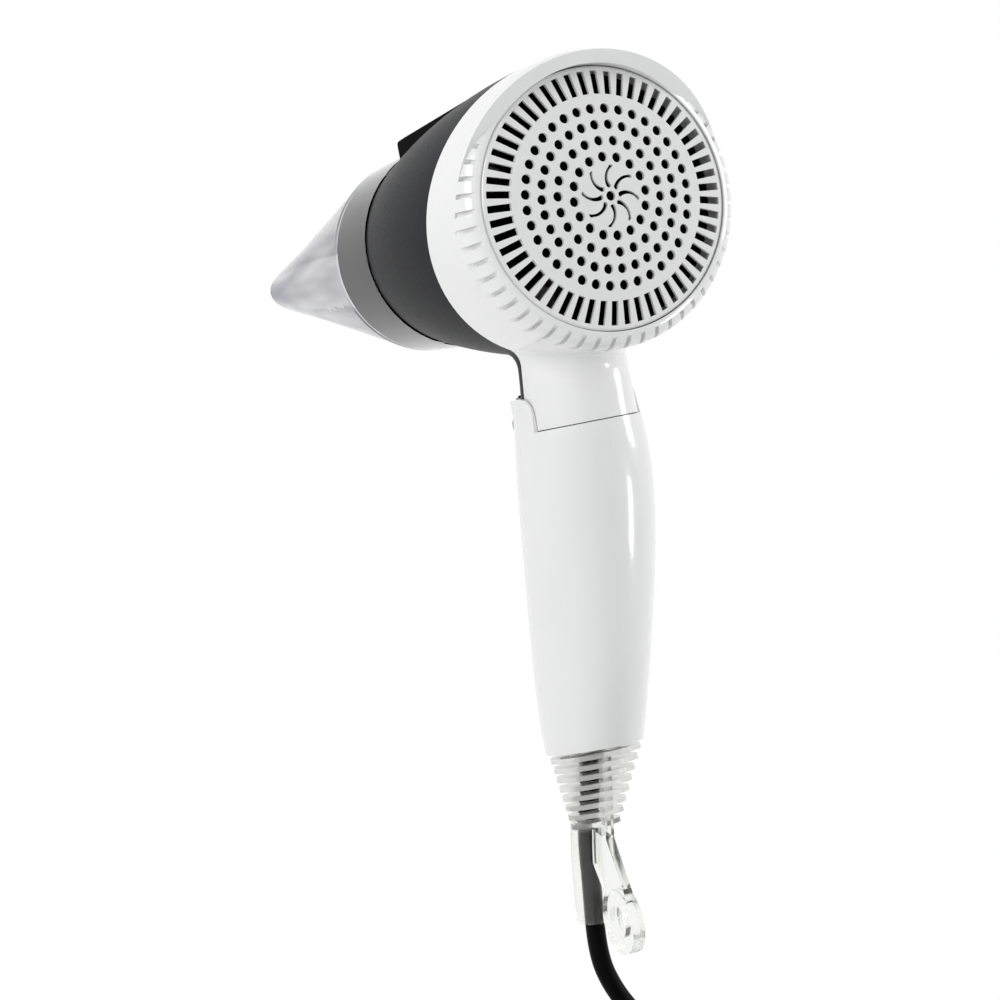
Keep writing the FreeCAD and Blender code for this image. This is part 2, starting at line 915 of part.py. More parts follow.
def rectifier_board():
    """Round board on the back of the motor, with its four diodes."""
    start = dim("motor_start") + dim("motor_length") + 2.5
    board = rod("board_disc", "X", dim("motor_radius") - 1, (start, start + 1.6))
    diodes = []
    for number in range(4):
        diode = box(f"diode_{number}", (start + 1.6, start + 3.6), (-2.4, 2.4), (6.5, 9))
        diodes.append(around(diode, 45 + number * 90))
    return on_barrel(fuse("rectifier_board", board, *diodes))


def liner_radius():
    return dim("outlet_radius") - dim("wall") - dim("hinge_gap")


def heater():
    """Mica liner, the crossed mica boards and the ribbon wound round their edges."""
    start = dim("liner_start")
    end = dim("liner_end")
    bore = liner_radius() - dim("liner_wall")
    liner = on_barrel(ring("heater_tube", (start, end), liner_radius(), bore))
    half = dim("board_thick") / 2
    boards = []
    for number in range(3):
        board = box(f"mica_board_{number}", (start + 2, end - 3), (-half, half),
                    (-dim("coil_radius"), dim("coil_radius")))
        boards.append(around(board, 30 + number * 60))
    tabs = []
    for number in range(3):
        tab = box(f"mica_tab_{number}", (start + 2, start + 7), (-half, half), (0.1 - bore, bore - 0.1))
        tabs.append(around(tab, 30 + number * 60))
    cross = on_barrel(fuse("mica_cross", *boards, *tabs))
    return liner, cross


def heater_coils():
    """Flat ribbon loops round the edges of the mica boards."""
    first = dim("liner_start") + 13
    loops = []
    for number in range(COIL_TURNS):
        start = first + number * dim("coil_pitch")
        inner = dim("coil_radius") + 0.05
        loops.append(ring(f"loop_{number}", (start, start + dim("coil_wire")),
                          inner + 0.7, inner))
    bus = box("ribbon_bus", (first, first + (COIL_TURNS - 1) * dim("coil_pitch")),
              (-1, 1), (dim("coil_radius") + 0.3, dim("coil_radius") + 1.0))
    return on_barrel(fuse("heater_coils", bus, *loops))


def cutouts():
    """Thermostat and thermal fuse on the mica boards, at the cool end of the heater."""
    start = dim("liner_start") + 3
    half = dim("board_thick") / 2
    thermostat = box("thermostat_block", (start, start + 9), (half, half + 5), (7.5, 15.5))
    fuse_body = rod("fuse_rod", "X", 1.8, (start, start + 9), y=half + 1.8, z=11)
    one = around(thermostat, 30)
    two = around(fuse_body, 150)
    one.Label = "thermostat"
    two.Label = "thermal_fuse"
    return on_barrel(one), on_barrel(two)


def outlet_grille():
    """Wheel-shaped guard that closes the outlet: rings on six spokes."""
    start = dim("guard_x")
    end = start + dim("guard_depth")
    outer = liner_radius()
    rings = []
    for number in range(GUARD_RINGS):
        radius = outer * (number + 1) / (GUARD_RINGS + 1)
        rings.append(ring(f"guard_ring_{number}", (start, end), radius + 0.6, radius - 0.6))
    rim = ring("guard_rim", (start, end), outer, outer - 1.4)
    spokes = []
    for number in range(3):
        spoke = box(f"spoke_{number}", (start, end), (-0.6, 0.6), (0.5 - outer, outer - 0.5))
        spokes.append(around(spoke, number * 60))
    return on_barrel(fuse("outlet_grille", rim, *rings, *spokes))


# ---------------------------------------------------------------- handle

def handle_sections(inset, low, high):
    """The grip's ellipses from its foot to the top, moved in by inset."""
    sections = [(dim("foot_x"), low, dim("foot_depth"), dim("foot_width"))]
    for part in ("heel", "waist", "palm"):
        sections.append((dim(part + "_x"), dim(part + "_z"),
                         dim(part + "_depth"), dim(part + "_width")))
    sections.append((dim("handle_top_x"), high,
                     dim("handle_top_depth"), dim("handle_top_width")))
    return [(x, z, depth - inset, width - inset) for x, z, depth, width in sections]


def level_trim(label, inset):
    """Level boxes that end the handle at its seam and foot, moved in by inset."""
    wide = 2 * dim("barrel_radius")
    top = dim("seam") - dim("seam_gap") / 2 - inset
    above = box(label + "_above", (-wide, wide), (-wide, wide), (top, top + wide))
    below = box(label + "_below", (-wide, wide), (-wide, wide),
                (dim("foot") + inset - wide, dim("foot") + inset))
    return level(above), level(below)


def hinge_relief():
    """What the handle gives up to the knuckle, the pin and the leads."""
    gap = dim("hinge_gap")
    recess = pivot_rod("recess", dim("knuckle_radius") + gap, dim("knuckle_half") + gap)
    bore = pivot_rod("ear_bore", dim("pin_radius") + dim("pin_play"), pin_half())
    return [recess, bore, window_box("handle_window")]


def panel_block(label, gap, front):
    """Upright block that the switch panel takes up in the front of the handle."""
    return box(label, (dim("panel_back"), front),
               (-(dim("panel_half") + gap), dim("panel_half") + gap),
               (dim("panel_bottom") - gap, dim("panel_top") + gap))


def screw_spots():
    """Where the two case screws stand: (x, z) in the grip frame."""
    return ((-3, dim("palm_z") + 16), (-6, dim("heel_z") + 6))


def handle_shells():
    """The two handle halves, with ears round the hinge, screw posts and a foot hole."""
    wall = dim("handle_wall")
    wide = dim("barrel_radius")
    outer = loft("handle_form", handle_sections(0, dim("foot_z"), dim("handle_top")))
    room = loft("handle_room", handle_sections(wall, dim("foot_z"), dim("handle_top")))
    ears = pivot_rod("ears", dim("knuckle_radius") - dim("hinge_gap"), wide)
    above, below = level_trim("handle", 0)
    room_above, room_below = level_trim("room", wall)
    guard = pivot_rod("recess_wall", dim("knuckle_radius") + wall + dim("hinge_gap"), wide)
    posts = []
    bores = []
    for number, (x, z) in enumerate(screw_spots()):
        posts.append(rod(f"post_{number}", "Y", dim("post_radius"), (-wide, wide), x=x, z=z))
        bores.append(rod(f"post_bore_{number}", "Y", dim("screw_radius"),
                         (-dim("screw_reach"), dim("screw_reach")), x=x, z=z))
        bores.append(rod(f"post_head_{number}", "Y", dim("screw_head"),
                         (-wide, -dim("screw_reach")), x=x, z=z))
    hollow = cut("handle_hollow", room, room_above, room_below, guard, *posts)
    tools = [cut("seam_trim", above, ears), below, hollow, *hinge_relief(), *bores]
    tools += [panel_block("panel_opening", 0, wide), level(relief_block("relief_opening", 0))]
    shell = cut("handle_shell", outer, *tools)
    tall = 2 * wide
    left_space = box("left_space", (-wide, wide), (0, wide), (-tall, tall))
    right_space = box("right_space", (-wide, wide), (-wide, 0), (-tall, tall))
    left = common("handle_left_shell", shell, left_space)
    right = common("handle_right_shell", shell, right_space)
    return lean(left), lean(right)


def relief_block(label, play):
    """Upright block through the foot for the boot's neck, smaller all round by play."""
    middle = axis_x(dim("foot_x"), dim("foot"))
    half = dim("relief_neck") - play
    return box(label, (middle - half, middle + half), (-half, half),
               (dim("foot") - 1, dim("foot") + dim("handle_wall") + 1))


def handle_screws():
    """Two case screws, put in from the dryer's right."""
    pieces = []
    reach = dim("screw_reach")
    for number, (x, z) in enumerate(screw_spots()):
        pieces.append(rod(f"screw_shank_{number}", "Y", dim("screw_radius"),
                          (-reach, reach - 1), x=x, z=z))
        pieces.append(rod(f"screw_cap_{number}", "Y", dim("screw_head") - 0.2,
                          (-reach - 1.8, -reach), x=x, z=z))
    return lean(fuse("handle_screws", *pieces))


def slot_box(label, half, front, middle, back):
    """Space for a slider along its travel, with the running gap at both ends."""
    end = dim("slider_length") / 2 + dim("fit_gap")
    return box(label, (back, front), (-half, half),
               (middle - end, middle + end + dim("slider_travel")))


def switch_plate():
    """Black inlay with two slider tracks, a button bore and feet for the switches."""
    front = 60
    skin = loft("panel_skin", handle_sections(-dim("panel_rise"), dim("foot_z"),
                                              dim("handle_top")))
    cuts = []
    for name in ("heat", "speed"):
        middle = dim(name + "_z")
        track = dim("slider_half") + dim("fit_gap")
        cuts.append(slot_box(name + "_track", track, front, middle, dim("track_floor")))
        stem = dim("stem_half") + dim("fit_gap")
        cuts.append(box(name + "_slot", (0, front), (-stem, stem),
                        (middle - stem, middle + stem + dim("slider_travel"))))
    cuts.append(rod("button_bore", "X", dim("button_radius") + dim("fit_gap"), (0, front),
                    z=dim("cool_z")))
    feet = []
    for side in (-1, 1):
        edges = sorted((side * 5.4, side * 6.8))
        feet.append(box(f"foot_{side + 1}", (switch_front(), dim("panel_back")), edges,
                        (dim("speed_z") - 7, dim("heat_z") + 10)))
        edges = sorted((side * 6.4, side * 7.6))
        feet.append(box(f"cool_foot_{side + 1}", (cool_front(), dim("panel_back")), edges,
                        (dim("cool_z") - 5, dim("cool_z") + 5)))
    block = fuse("panel_and_feet", panel_block("panel_space", 0, front), *feet)
    return lean(common("switch_plate", skin, cut("panel_cut", block, *cuts)))


def switch_front():
    """Front face of the slide switches, just behind the sliders' stems."""
    return dim("panel_back") - 1.8


def cool_front():
    """Front face of the button's switch, clear of the pressed button's flange."""
    return dim("panel_back") - dim("flange_thick") - dim("button_travel") - 3 * dim("fit_gap")


def slider(name):
    """Slide with a ribbed thumb piece and a stem that works its switch."""
    middle = dim(name + "_z")
    half = dim("slider_length") / 2
    floor = dim("track_floor") + dim("fit_gap")
    top = dim("slider_top")
    base = box(name + "_base", (floor, top - 1), (-dim("slider_half"), dim("slider_half")),
               (middle - half, middle + half))
    stem = box(name + "_stem", (switch_front() + dim("hinge_gap"), floor),
               (-dim("stem_half"), dim("stem_half")),
               (middle - dim("stem_half"), middle + dim("stem_half")))
    ribs = []
    for number in range(SLIDER_RIBS):
        z = middle - half + 0.8 + number * (dim("slider_length") - 1.2 - 1.0) / (SLIDER_RIBS - 1)
        ribs.append(box(f"{name}_rib_{number}", (top - 1, top),
                        (-dim("slider_half") + 0.4, dim("slider_half") - 0.4), (z, z + 0.9)))
    return lean(fuse(name + "_slider", base, stem, *ribs))


def cool_button():
    """Cool-shot button, held behind the panel by its flange."""
    z = dim("cool_z")
    back = dim("panel_back") - dim("fit_gap")
    cap = rod("button_cap", "X", dim("button_radius"), (back, dim("slider_top") - 0.4), z=z)
    flange = rod("button_flange", "X", dim("button_radius") + 1.2,
                 (back - dim("flange_thick"), back), z=z)
    return lean(fuse("cool_button", cap, flange))


def switches():
    """The three switches behind the panel and the suppressor capacitor."""
    front = switch_front()
    speed = dim("speed_z")
    heat = dim("heat_z")
    one = box("speed_switch_body", (6, front), (-6.4, 6.4), (speed - 7, speed + 11))
    two = box("heat_switch_body", (6, front), (-6.4, 6.4), (heat - 8.5, heat + 10))
    three = box("cool_switch_body", (4, cool_front()), (-7.4, 7.4),
                (dim("cool_z") - 5, dim("cool_z") + 5))
    four = box("capacitor", (-6.5, 5.7), (-7, 7), (speed - 6, speed + 10))
    return [lean(piece) for piece in (one, two, three, four)]


# ---------------------------------------------------------------- cord

LEAD_RADIUS = 1.1
HELD_ROUTE = [(2.0, 0, -46.0), (4.6, 0, -70.0), (10.0, 0, -94.0), (7.2, 0, -125.0)]
BORE_ROUTE = [*HELD_ROUTE[:3], (6.93, 0, -128.0)]
SLEEVE_ROUTE = [(8.6, 0, -89.0), (9.4, 0, -103.0), (7.2, 0, -125.0)]
FREE_ROUTE = [
    (48.72, 0.0, -115.34),
    (51.71, 0.0, -126.96),
    (53.1, -3.7, -139.3),
    (53.65, -10.4, -150.5),
    (53.65, -19.1, -161.5),
    (53.65, -30.3, -169.9),
    (53.6, -42.0, -175.6),
    (53.6, -54.5, -178.8),
]


def rounded_path(points):
    """Straight runs joined by tangent arcs, each as large as its two runs allow."""
    spots_on = [VECTOR(*point) for point in points]
    edges = []
    radii = []
    start = spots_on[0]
    for before, here, after in zip(spots_on, spots_on[1:], spots_on[2:]):
        back = (before - here).normalize()
        ahead = (after - here).normalize()
        turn = math.pi - back.getAngle(ahead)
        reach = 0.45 * min((before - here).Length, (after - here).Length)
        radius = reach / math.tan(turn / 2)
        arc_start = here + back * reach
        arc_end = here + ahead * reach
        middle = (back + ahead).normalize()
        centre_away = math.hypot(radius, reach)
        arc_middle = here + middle * (centre_away - radius)
        edges.append(Part.LineSegment(start, arc_start).toShape())
        edges.append(Part.Arc(arc_start, arc_middle, arc_end).toShape())
        radii.append(radius)
        start = arc_end
    edges.append(Part.LineSegment(start, spots_on[-1]).toShape())
    return Part.Wire(edges), radii


def tube(label, points, radius):
    """A round tube along a rounded path."""
    wire, radii = rounded_path(points)
    first = wire.Edges[0]
    along = first.tangentAt(first.FirstParameter)
    circle = Part.Circle(wire.Edges[0].Vertexes[0].Point, along, as_size(radius).value)
    section = Part.Wire([circle.toShape()])
    solid = wire.makePipeShell([section], True, False)
    thing = doc.addObject("Part::Feature", label)
    thing.Shape = solid
    expected = math.pi * as_size(radius).value ** 2 * wire.Length
    print(f"{label}: length {wire.Length:.1f}, volume ratio {solid.Volume / expected:.4f}, "
          f"radii {[round(radius, 1) for radius in radii]}")
    return thing


def upright_oval(label, x, z, thick, depth, width):
    """Flat oval plate about an upright axis, its top face at z."""
    oval = doc.addObject("Part::Ellipse", label + "_edge")
    bind(oval, "MajorRadius", depth)
    bind(oval, "MinorRadius", width)
    place(oval, x=x, z=as_size(z) - thick)
    plate = doc.addObject("Part::Extrusion", label)
    plate.Base = oval
    plate.Dir = VECTOR(0, 0, 1)
    bind(plate, "LengthFwd", thick)
    plate.Solid = True
    return plate


def strain_relief():
    """Clear ribbed boot, its cord sleeve and the hanging ring, moulded in one."""
    neck = dim("relief_neck") + 2
    floor = dim("foot") + dim("handle_wall")
    middle = axis_x(dim("foot_x"), dim("foot"))
    first = dim("foot") - dim("fin_first")
    pieces = [
        box("relief_flange", (middle - neck, middle + neck), (-neck, neck),
            (floor + dim("relief_play"), floor + dim("relief_flange"))),
        relief_block("relief_core", dim("relief_play")),
    ]
    for number in range(FIN_COUNT):
        share = number / (FIN_COUNT - 1)
        depth = dim("fin_top_depth") * (1 - share) + dim("fin_end_depth") * share
        width = dim("fin_top_width") * (1 - share) + dim("fin_end_width") * share
        top = first - number * dim("fin_pitch")
        centre = axis_x(1.6 + 2.0 * share, top)
        pieces.append(upright_oval(f"fin_{number}", centre, top, dim("fin_thick"),
                                   depth, width))
    trim = box("web_trim", (middle - 60, middle + 60), (-neck, neck), (first, first + 40))
    stem = rod("relief_stem", "Z", dim("relief_neck") - dim("relief_play"),
               (first - 1, floor), x=middle)
    pieces += [stem, cut("web", relief_web(), trim)]
    pieces.append(lean(tube("relief_sleeve", SLEEVE_ROUTE,
                            dim("cord_radius") + dim("sleeve_wall"))))
    half = dim("loop_thick") / 2
    pieces.append(lean(rod("loop_disc", "Y", dim("loop_radius"), (-half, half),
                           x=dim("loop_x"), z=dim("loop_z"))))
    hole = lean(rod("loop_bore", "Y", dim("loop_hole"), (-half - 1, half + 1),
                    x=dim("loop_x"), z=dim("loop_z")))
    cord = lean(tube("relief_bore", BORE_ROUTE, dim("cord_radius") + dim("relief_play")))
    return cut("strain_relief", fuse("relief_body", *pieces), hole, cord)


def relief_web():
    """Spines behind and before the cord, and the web that carries the ring."""
    body = new_body("relief_web")
    sketch = new_sketch(body, "XZ_Plane", "web_profile")
    top = dim("web_top")
    low = dim("web_low")
    outline(sketch, [
        (-6.5, top),
        (-6.5, low),
        (dim("loop_x") - 9, dim("loop_z") + 5),
        (dim("loop_x") + 9, dim("loop_z") + 5),
        (6.5, low - 9),
        (4, low),
        (-3.4, low),
        (-3.4, top),
    ])
    web = body.newObject("PartDesign::Pad", "web_pad")
    web.Profile = sketch
    web.SideType = "Symmetric"
    bind(web, "Length", dim("web_thick"))
    front = new_sketch(body, "XZ_Plane", "front_spine_profile")
    outline(front, [(8.2, top), (11.0, top), (11.0, low), (8.2, low)])
    spine = body.newObject("PartDesign::Pad", "front_spine")
    spine.Profile = front
    spine.SideType = "Symmetric"
    bind(spine, "Length", dim("web_thick"))
    return lean(body)


def cord_clamp():
    """Block that grips the cord inside the foot."""
    half = dim("clamp_half")
    floor = dim("foot") + dim("handle_wall") + dim("relief_flange") + dim("relief_play")
    middle = axis_x(dim("foot_x"), floor)
    block = box("clamp_block", (middle - half, middle + half), (-half, half),
                (floor, floor + dim("clamp_height")))
    bore = lean(tube("clamp_bore", HELD_ROUTE, dim("cord_radius") + dim("pin_play")))
    return cut("cord_clamp", block, bore)


def put_away_cord():
    """Coil of spare cord on the floor and the tie round it."""
    x = dim("coil_x")
    y = dim("coil_y")
    floor = dim("floor_z")
    top = floor + dim("coil_height")
    band = box("tie_band", (x - 14, x - 6),
               (y + dim("coil_inner") - 3, y + dim("coil_outer") + 1.4), (floor, top + 1.2))
    return coil_ring("cord_coil"), cut("cord_tie", band, coil_ring("tie_space"))


def coil_ring(label):
    """The space that the coiled cord takes up."""
    x = dim("coil_x")
    y = dim("coil_y")
    floor = dim("floor_z")
    top = floor + dim("coil_height")
    outside = rod(label + "_outside", "Z", dim("coil_outer"), (floor, top), x=x, y=y)
    inside = rod(label + "_inside", "Z", dim("coil_inner"), (floor - 1, top + 1), x=x, y=y)
    return cut(label, outside, inside)


def plug():
    """Two-pin contour plug that lies beside the coil, with the tail of cord to it."""
    x = dim("coil_x") - (dim("coil_outer") - dim("cord_radius"))
    z = dim("floor_z") + dim("plug_half_height")
    start = dim("coil_y") + 28
    back = start + dim("plug_boot_length")
    front = back + dim("plug_length")
    boot = doc.addObject("Part::Cone", "plug_boot")
    bind(boot, "Radius1", dim("cord_radius") + 1.6)
    bind(boot, "Radius2", dim("plug_half_height") - 1.2)
    bind(boot, "Height", dim("plug_boot_length"))
    place(boot, x, start, z, (1, 0, 0), -90)
    half = dim("plug_half_width")
    block = box("plug_block", (x - half, x + half), (back, front),
                (z - dim("plug_half_height"), z + dim("plug_half_height")))
    soft = doc.addObject("Part::Fillet", "plug_soft")
    soft.Base = block
    doc.recompute()
    radius = dim("plug_half_height") - 2
    edges = [number for number, edge in enumerate(block.Shape.Edges, start=1)
             if abs(edge.tangentAt(edge.FirstParameter).y) > 0.9]
    soft.Edges = [(number, radius.value, radius.value) for number in edges]
    body = fuse("plug_body", boot, soft)
    pins = []
    for side in (-1, 1):
        pins.append(rod(f"plug_pin_{side + 1}", "Y", dim("plug_pin_radius"),
                        (front, front + dim("plug_pin_length")),
                        x=x + side * dim("plug_pin_gap") / 2, z=z))
    pair = doc.addObject("Part::Compound", "plug_pins")
    pair.Links = pins
    tail_start = (x.value, dim("coil_y").value, z.value)
    tail = tube("cord_tail", [tail_start, (x.value, start.value, z.value)], dim("cord_radius"))
    return body, pair, tail


def leads():
    """Leads from the clamp to the capacitor and from the board to the neck."""
    up = tube("handle_leads", [(1.4, 1.0, -45.5), (0.0, 3.0, -33.0), (-0.4, 3.2, -20.0),
                               (0.6, 3.2, dim("speed_z").value - 6.4)], LEAD_RADIUS)
    head = tube("head_leads", [(76.0, 0.0, -8.0), (73.5, 0.0, -21.0), (68.0, 0.0, -32.0),
                               (61.3, 0.0, -42.0), (58.3, 0, -51.0)], LEAD_RADIUS)
    return lean(up), on_barrel(head)


# ---------------------------------------------------------------- build

def build():
    """Every sub-part of the dryer."""
    parts = [*head_shells(), top_hood(), rear_grille(), nozzle(), hinge_knuckle(), hinge_pin()]
    parts += [fan_duct(), impeller(), *motor(), rectifier_board(), *heater(), heater_coils()]
    parts += [*cutouts(), outlet_grille(), *handle_shells(), handle_screws(), switch_plate()]
    parts += [slider("speed"), slider("heat"), cool_button(), *switches(), cord_clamp()]
    parts += [strain_relief(), lean(tube("inner_cord", HELD_ROUTE, dim("cord_radius")))]
    parts += [tube("mains_cord", FREE_ROUTE, dim("cord_radius")), *put_away_cord(), *plug()]
    parts += [*leads()]
    return parts


def write(parts):
    """Check every object, then write one STEP file for each sub-part."""
    doc.recompute()
    for thing in doc.Objects:
        if "Invalid" in thing.State or "Error" in thing.State:
            raise RuntimeError(f"{thing.Label} failed: {thing.State}")
    for part in parts:
        if part.Shape.isNull() or not part.Shape.isValid():
            raise RuntimeError(f"{part.Label} has no valid shape")
    os.makedirs("parts", exist_ok=True)
    for part in parts:
        part.Shape.exportStep(f"parts/{part.Label}.step")


write(build())
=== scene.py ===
"""Looks of the folding hair dryer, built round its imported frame."""

import math

import bpy
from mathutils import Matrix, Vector
from mathutils.bvhtree import BVHTree


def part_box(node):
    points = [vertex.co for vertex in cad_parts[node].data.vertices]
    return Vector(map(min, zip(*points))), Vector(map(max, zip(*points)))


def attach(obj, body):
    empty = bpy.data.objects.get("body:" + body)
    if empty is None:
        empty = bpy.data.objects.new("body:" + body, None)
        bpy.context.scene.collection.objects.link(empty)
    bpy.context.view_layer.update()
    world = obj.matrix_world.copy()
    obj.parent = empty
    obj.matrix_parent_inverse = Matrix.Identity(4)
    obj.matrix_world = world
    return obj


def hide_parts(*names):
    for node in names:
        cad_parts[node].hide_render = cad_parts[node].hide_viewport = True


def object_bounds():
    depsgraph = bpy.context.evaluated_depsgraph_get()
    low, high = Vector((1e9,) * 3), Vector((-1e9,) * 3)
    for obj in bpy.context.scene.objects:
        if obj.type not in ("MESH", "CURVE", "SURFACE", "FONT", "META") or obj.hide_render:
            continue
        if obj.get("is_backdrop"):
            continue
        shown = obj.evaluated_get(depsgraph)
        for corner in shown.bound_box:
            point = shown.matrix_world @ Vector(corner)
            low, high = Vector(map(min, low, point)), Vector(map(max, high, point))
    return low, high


bl_info = {
    "name": "Folding Hair Dryer",
    "version": (1, 0, 0),
    "blender": (4, 5, 0),
    "location": "View3D > Sidebar > Hair Dryer",
    "description": "Finishes and small pieces of a folding hair dryer",
    "category": "Object",
}

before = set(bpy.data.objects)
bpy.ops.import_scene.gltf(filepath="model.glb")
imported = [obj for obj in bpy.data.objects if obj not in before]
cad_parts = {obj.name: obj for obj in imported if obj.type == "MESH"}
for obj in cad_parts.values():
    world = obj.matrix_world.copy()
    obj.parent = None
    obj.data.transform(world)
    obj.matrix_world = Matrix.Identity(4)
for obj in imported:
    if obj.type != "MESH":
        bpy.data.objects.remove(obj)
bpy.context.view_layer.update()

# All lengths are in metres, from the middle of the hand grip: X is the way the air leaves, Y the
# dryer's left and Z up.

# Heights between which the boot turns from clear to milky.
BOOT_FADE = (-0.086, -0.080)

# Where the nozzle leaves its seat, past which its clear band gives way to a darker tint in
# streaks, painted shade for the dark reflections inside the cone.
NOZZLE_FADE = (0.0790, 0.0810)

# Size of the soft patches and height of the grain of moulded plastic, patches to the metre.
PATCHES = 28.0
GRAIN = 900.0
GRAIN_HEIGHT = 0.00004

# Free stretch of the mains lead, from the boot's sleeve down to the floor.
CORD_ROUTE = [
    (0.04872, 0.0, -0.11534),
    (0.05171, 0.0, -0.12696),
    (0.0531, -0.0037, -0.1393),
    (0.05365, -0.0104, -0.1505),
    (0.05365, -0.0191, -0.1615),
    (0.05365, -0.0303, -0.1699),
    (0.0536, -0.0420, -0.1756),
    (0.0536, -0.0545, -0.1788),
]

# Points to each turn of the coil, its spacing of layers in diameters, and the straight run of
# its tail before the plug.
TURN_POINTS = 12
LAYER_RISE = 0.98
TAIL_START = 0.012


# ------------------------------------------------------------------ properties

class DryerFinish(bpy.types.PropertyGroup):
    """Colours and surface finish of the dryer's plastics."""

    white: bpy.props.FloatVectorProperty(
        name="White", description="Colour of the white housing", subtype="COLOR", size=4,
        default=(0.80, 0.80, 0.79, 1.0), min=0.0, max=1.0)
    charcoal: bpy.props.FloatVectorProperty(
        name="Charcoal", description="Colour of the barrel's front housing", subtype="COLOR",
        size=4, default=(0.015, 0.0155, 0.0175, 1.0), min=0.0, max=1.0)
    black: bpy.props.FloatVectorProperty(
        name="Black", description="Colour of the black mouldings", subtype="COLOR", size=4,
        default=(0.005, 0.005, 0.0055, 1.0), min=0.0, max=1.0)
    boot: bpy.props.FloatVectorProperty(
        name="Boot", description="Tint of the translucent cord boot", subtype="COLOR", size=4,
        default=(0.97, 0.975, 0.945, 1.0), min=0.0, max=1.0)
    sleeve: bpy.props.FloatVectorProperty(
        name="Sleeve", description="Tint of the boot's clear sleeve and ring", subtype="COLOR",
        size=4, default=(0.93, 0.94, 0.91, 1.0), min=0.0, max=1.0)
    nozzle: bpy.props.FloatVectorProperty(
        name="Nozzle", description="Tint of the clear nozzle", subtype="COLOR", size=4,
        default=(0.64, 0.64, 0.65, 1.0), min=0.0, max=1.0)
    # This tint is painted shade: it darkens the nozzle ahead of its seat in streaks, for the dark
    # reflections inside the cone.
    painted_cone_shade: bpy.props.FloatVectorProperty(
        name="Smoke", description="Tint of the nozzle's flow marks", subtype="COLOR", size=4,
        default=(0.31, 0.31, 0.355, 1.0), min=0.0, max=1.0)
    band: bpy.props.FloatVectorProperty(
        name="Band", description="Tint of the nozzle's band over its seat", subtype="COLOR",
        size=4, default=(0.80, 0.80, 0.81, 1.0), min=0.0, max=1.0)
    keys: bpy.props.FloatVectorProperty(
        name="Keys", description="Colour of the slides and the button", subtype="COLOR", size=4,
        default=(0.035, 0.035, 0.037, 1.0), min=0.0, max=1.0)
    cord: bpy.props.FloatVectorProperty(
        name="Lead", description="Colour of the mains lead's sheath", subtype="COLOR", size=4,
        default=(0.003, 0.003, 0.0033, 1.0), min=0.0, max=1.0)


class DryerCord(bpy.types.PropertyGroup):
    """The mains lead."""

    diameter: bpy.props.FloatProperty(
        name="Diameter", description="Outside diameter of the sheath", unit="LENGTH",
        default=0.0064, min=0.004, max=0.012)
    turns: bpy.props.IntProperty(
        name="Turns", description="Turns of the put-away coil", default=7, min=1, max=20)


class DryerStage(bpy.types.PropertyGroup):
    """Camera, lamps and floor."""

    lens: bpy.props.FloatProperty(
        name="Lens", description="Focal length of the camera", unit="CAMERA", default=144.0)
    camera_spot: bpy.props.FloatVectorProperty(
        name="Camera place", description="Where the camera stands", subtype="TRANSLATION",
        default=(-1.1383, 0.52606, 0.04359))
    camera_turn: bpy.props.FloatVectorProperty(
        name="Camera turn", description="How the camera is turned", subtype="EULER",
        default=(math.radians(89.1316), math.radians(11.0212), math.radians(-113.8852)))
    fill: bpy.props.FloatProperty(
        name="Fill", description="Strength of the even light from all round", default=0.5,
        min=0.0, max=2.0)
    key: bpy.props.FloatProperty(
        name="Key", description="Power of the lamp on the dryer's left", unit="POWER",
        default=11.5, min=0.0)
    side: bpy.props.FloatProperty(
        name="Side", description="Power of the lamp on the dryer's right", unit="POWER",
        default=9.0, min=0.0)
    top: bpy.props.FloatProperty(
        name="Top", description="Power of the lamp overhead", unit="POWER", default=5.0, min=0.0)


# ------------------------------------------------------------------ materials

def new_material(name):
    """A material with an empty node tree and its Principled shader."""
    material = bpy.data.materials.new(name)
    material.use_nodes = True
    nodes = material.node_tree.nodes
    nodes.clear()
    output = nodes.new("ShaderNodeOutputMaterial")
    shader = nodes.new("ShaderNodeBsdfPrincipled")
    material.node_tree.links.new(shader.outputs["BSDF"], output.inputs["Surface"])
    return material, shader


def noise(material, scale, detail):
    """Object-space noise of that many patches to the metre."""
    nodes = material.node_tree.nodes
    place = nodes.new("ShaderNodeTexCoord")
    texture = nodes.new("ShaderNodeTexNoise")
    texture.inputs["Scale"].default_value = scale
    texture.inputs["Detail"].default_value = detail
    texture.inputs["Roughness"].default_value = 0.55
    material.node_tree.links.new(place.outputs["Object"], texture.inputs["Vector"])
    return texture.outputs["Fac"]


def spread(material, value, low, high):
    """Map the middle of a noise's values onto low to high."""
    node = material.node_tree.nodes.new("ShaderNodeMapRange")
    node.inputs["From Min"].default_value = 0.3
    node.inputs["From Max"].default_value = 0.7
    node.inputs["To Min"].default_value = low
    node.inputs["To Max"].default_value = high
    material.node_tree.links.new(value, node.inputs["Value"])
    return node.outputs["Result"]


def tinted(material, value, first, second):
    """Colour that drifts with a value between two shades, each a colour or a node's output."""
    node = material.node_tree.nodes.new("ShaderNodeMix")
    node.data_type = "RGBA"
    for socket, shade in ((node.inputs[6], first), (node.inputs[7], second)):
        if isinstance(shade, bpy.types.NodeSocket):
            material.node_tree.links.new(shade, socket)
        else:
            socket.default_value = shade
    material.node_tree.links.new(value, node.inputs["Factor"])
    return node.outputs[2]


def bumped(material, shader, value, strength, distance):
    """Fine relief from a value."""
    node = material.node_tree.nodes.new("ShaderNodeBump")
    node.inputs["Strength"].default_value = strength
    node.inputs["Distance"].default_value = distance
    material.node_tree.links.new(value, node.inputs["Height"])
    material.node_tree.links.new(node.outputs["Normal"], shader.inputs["Normal"])


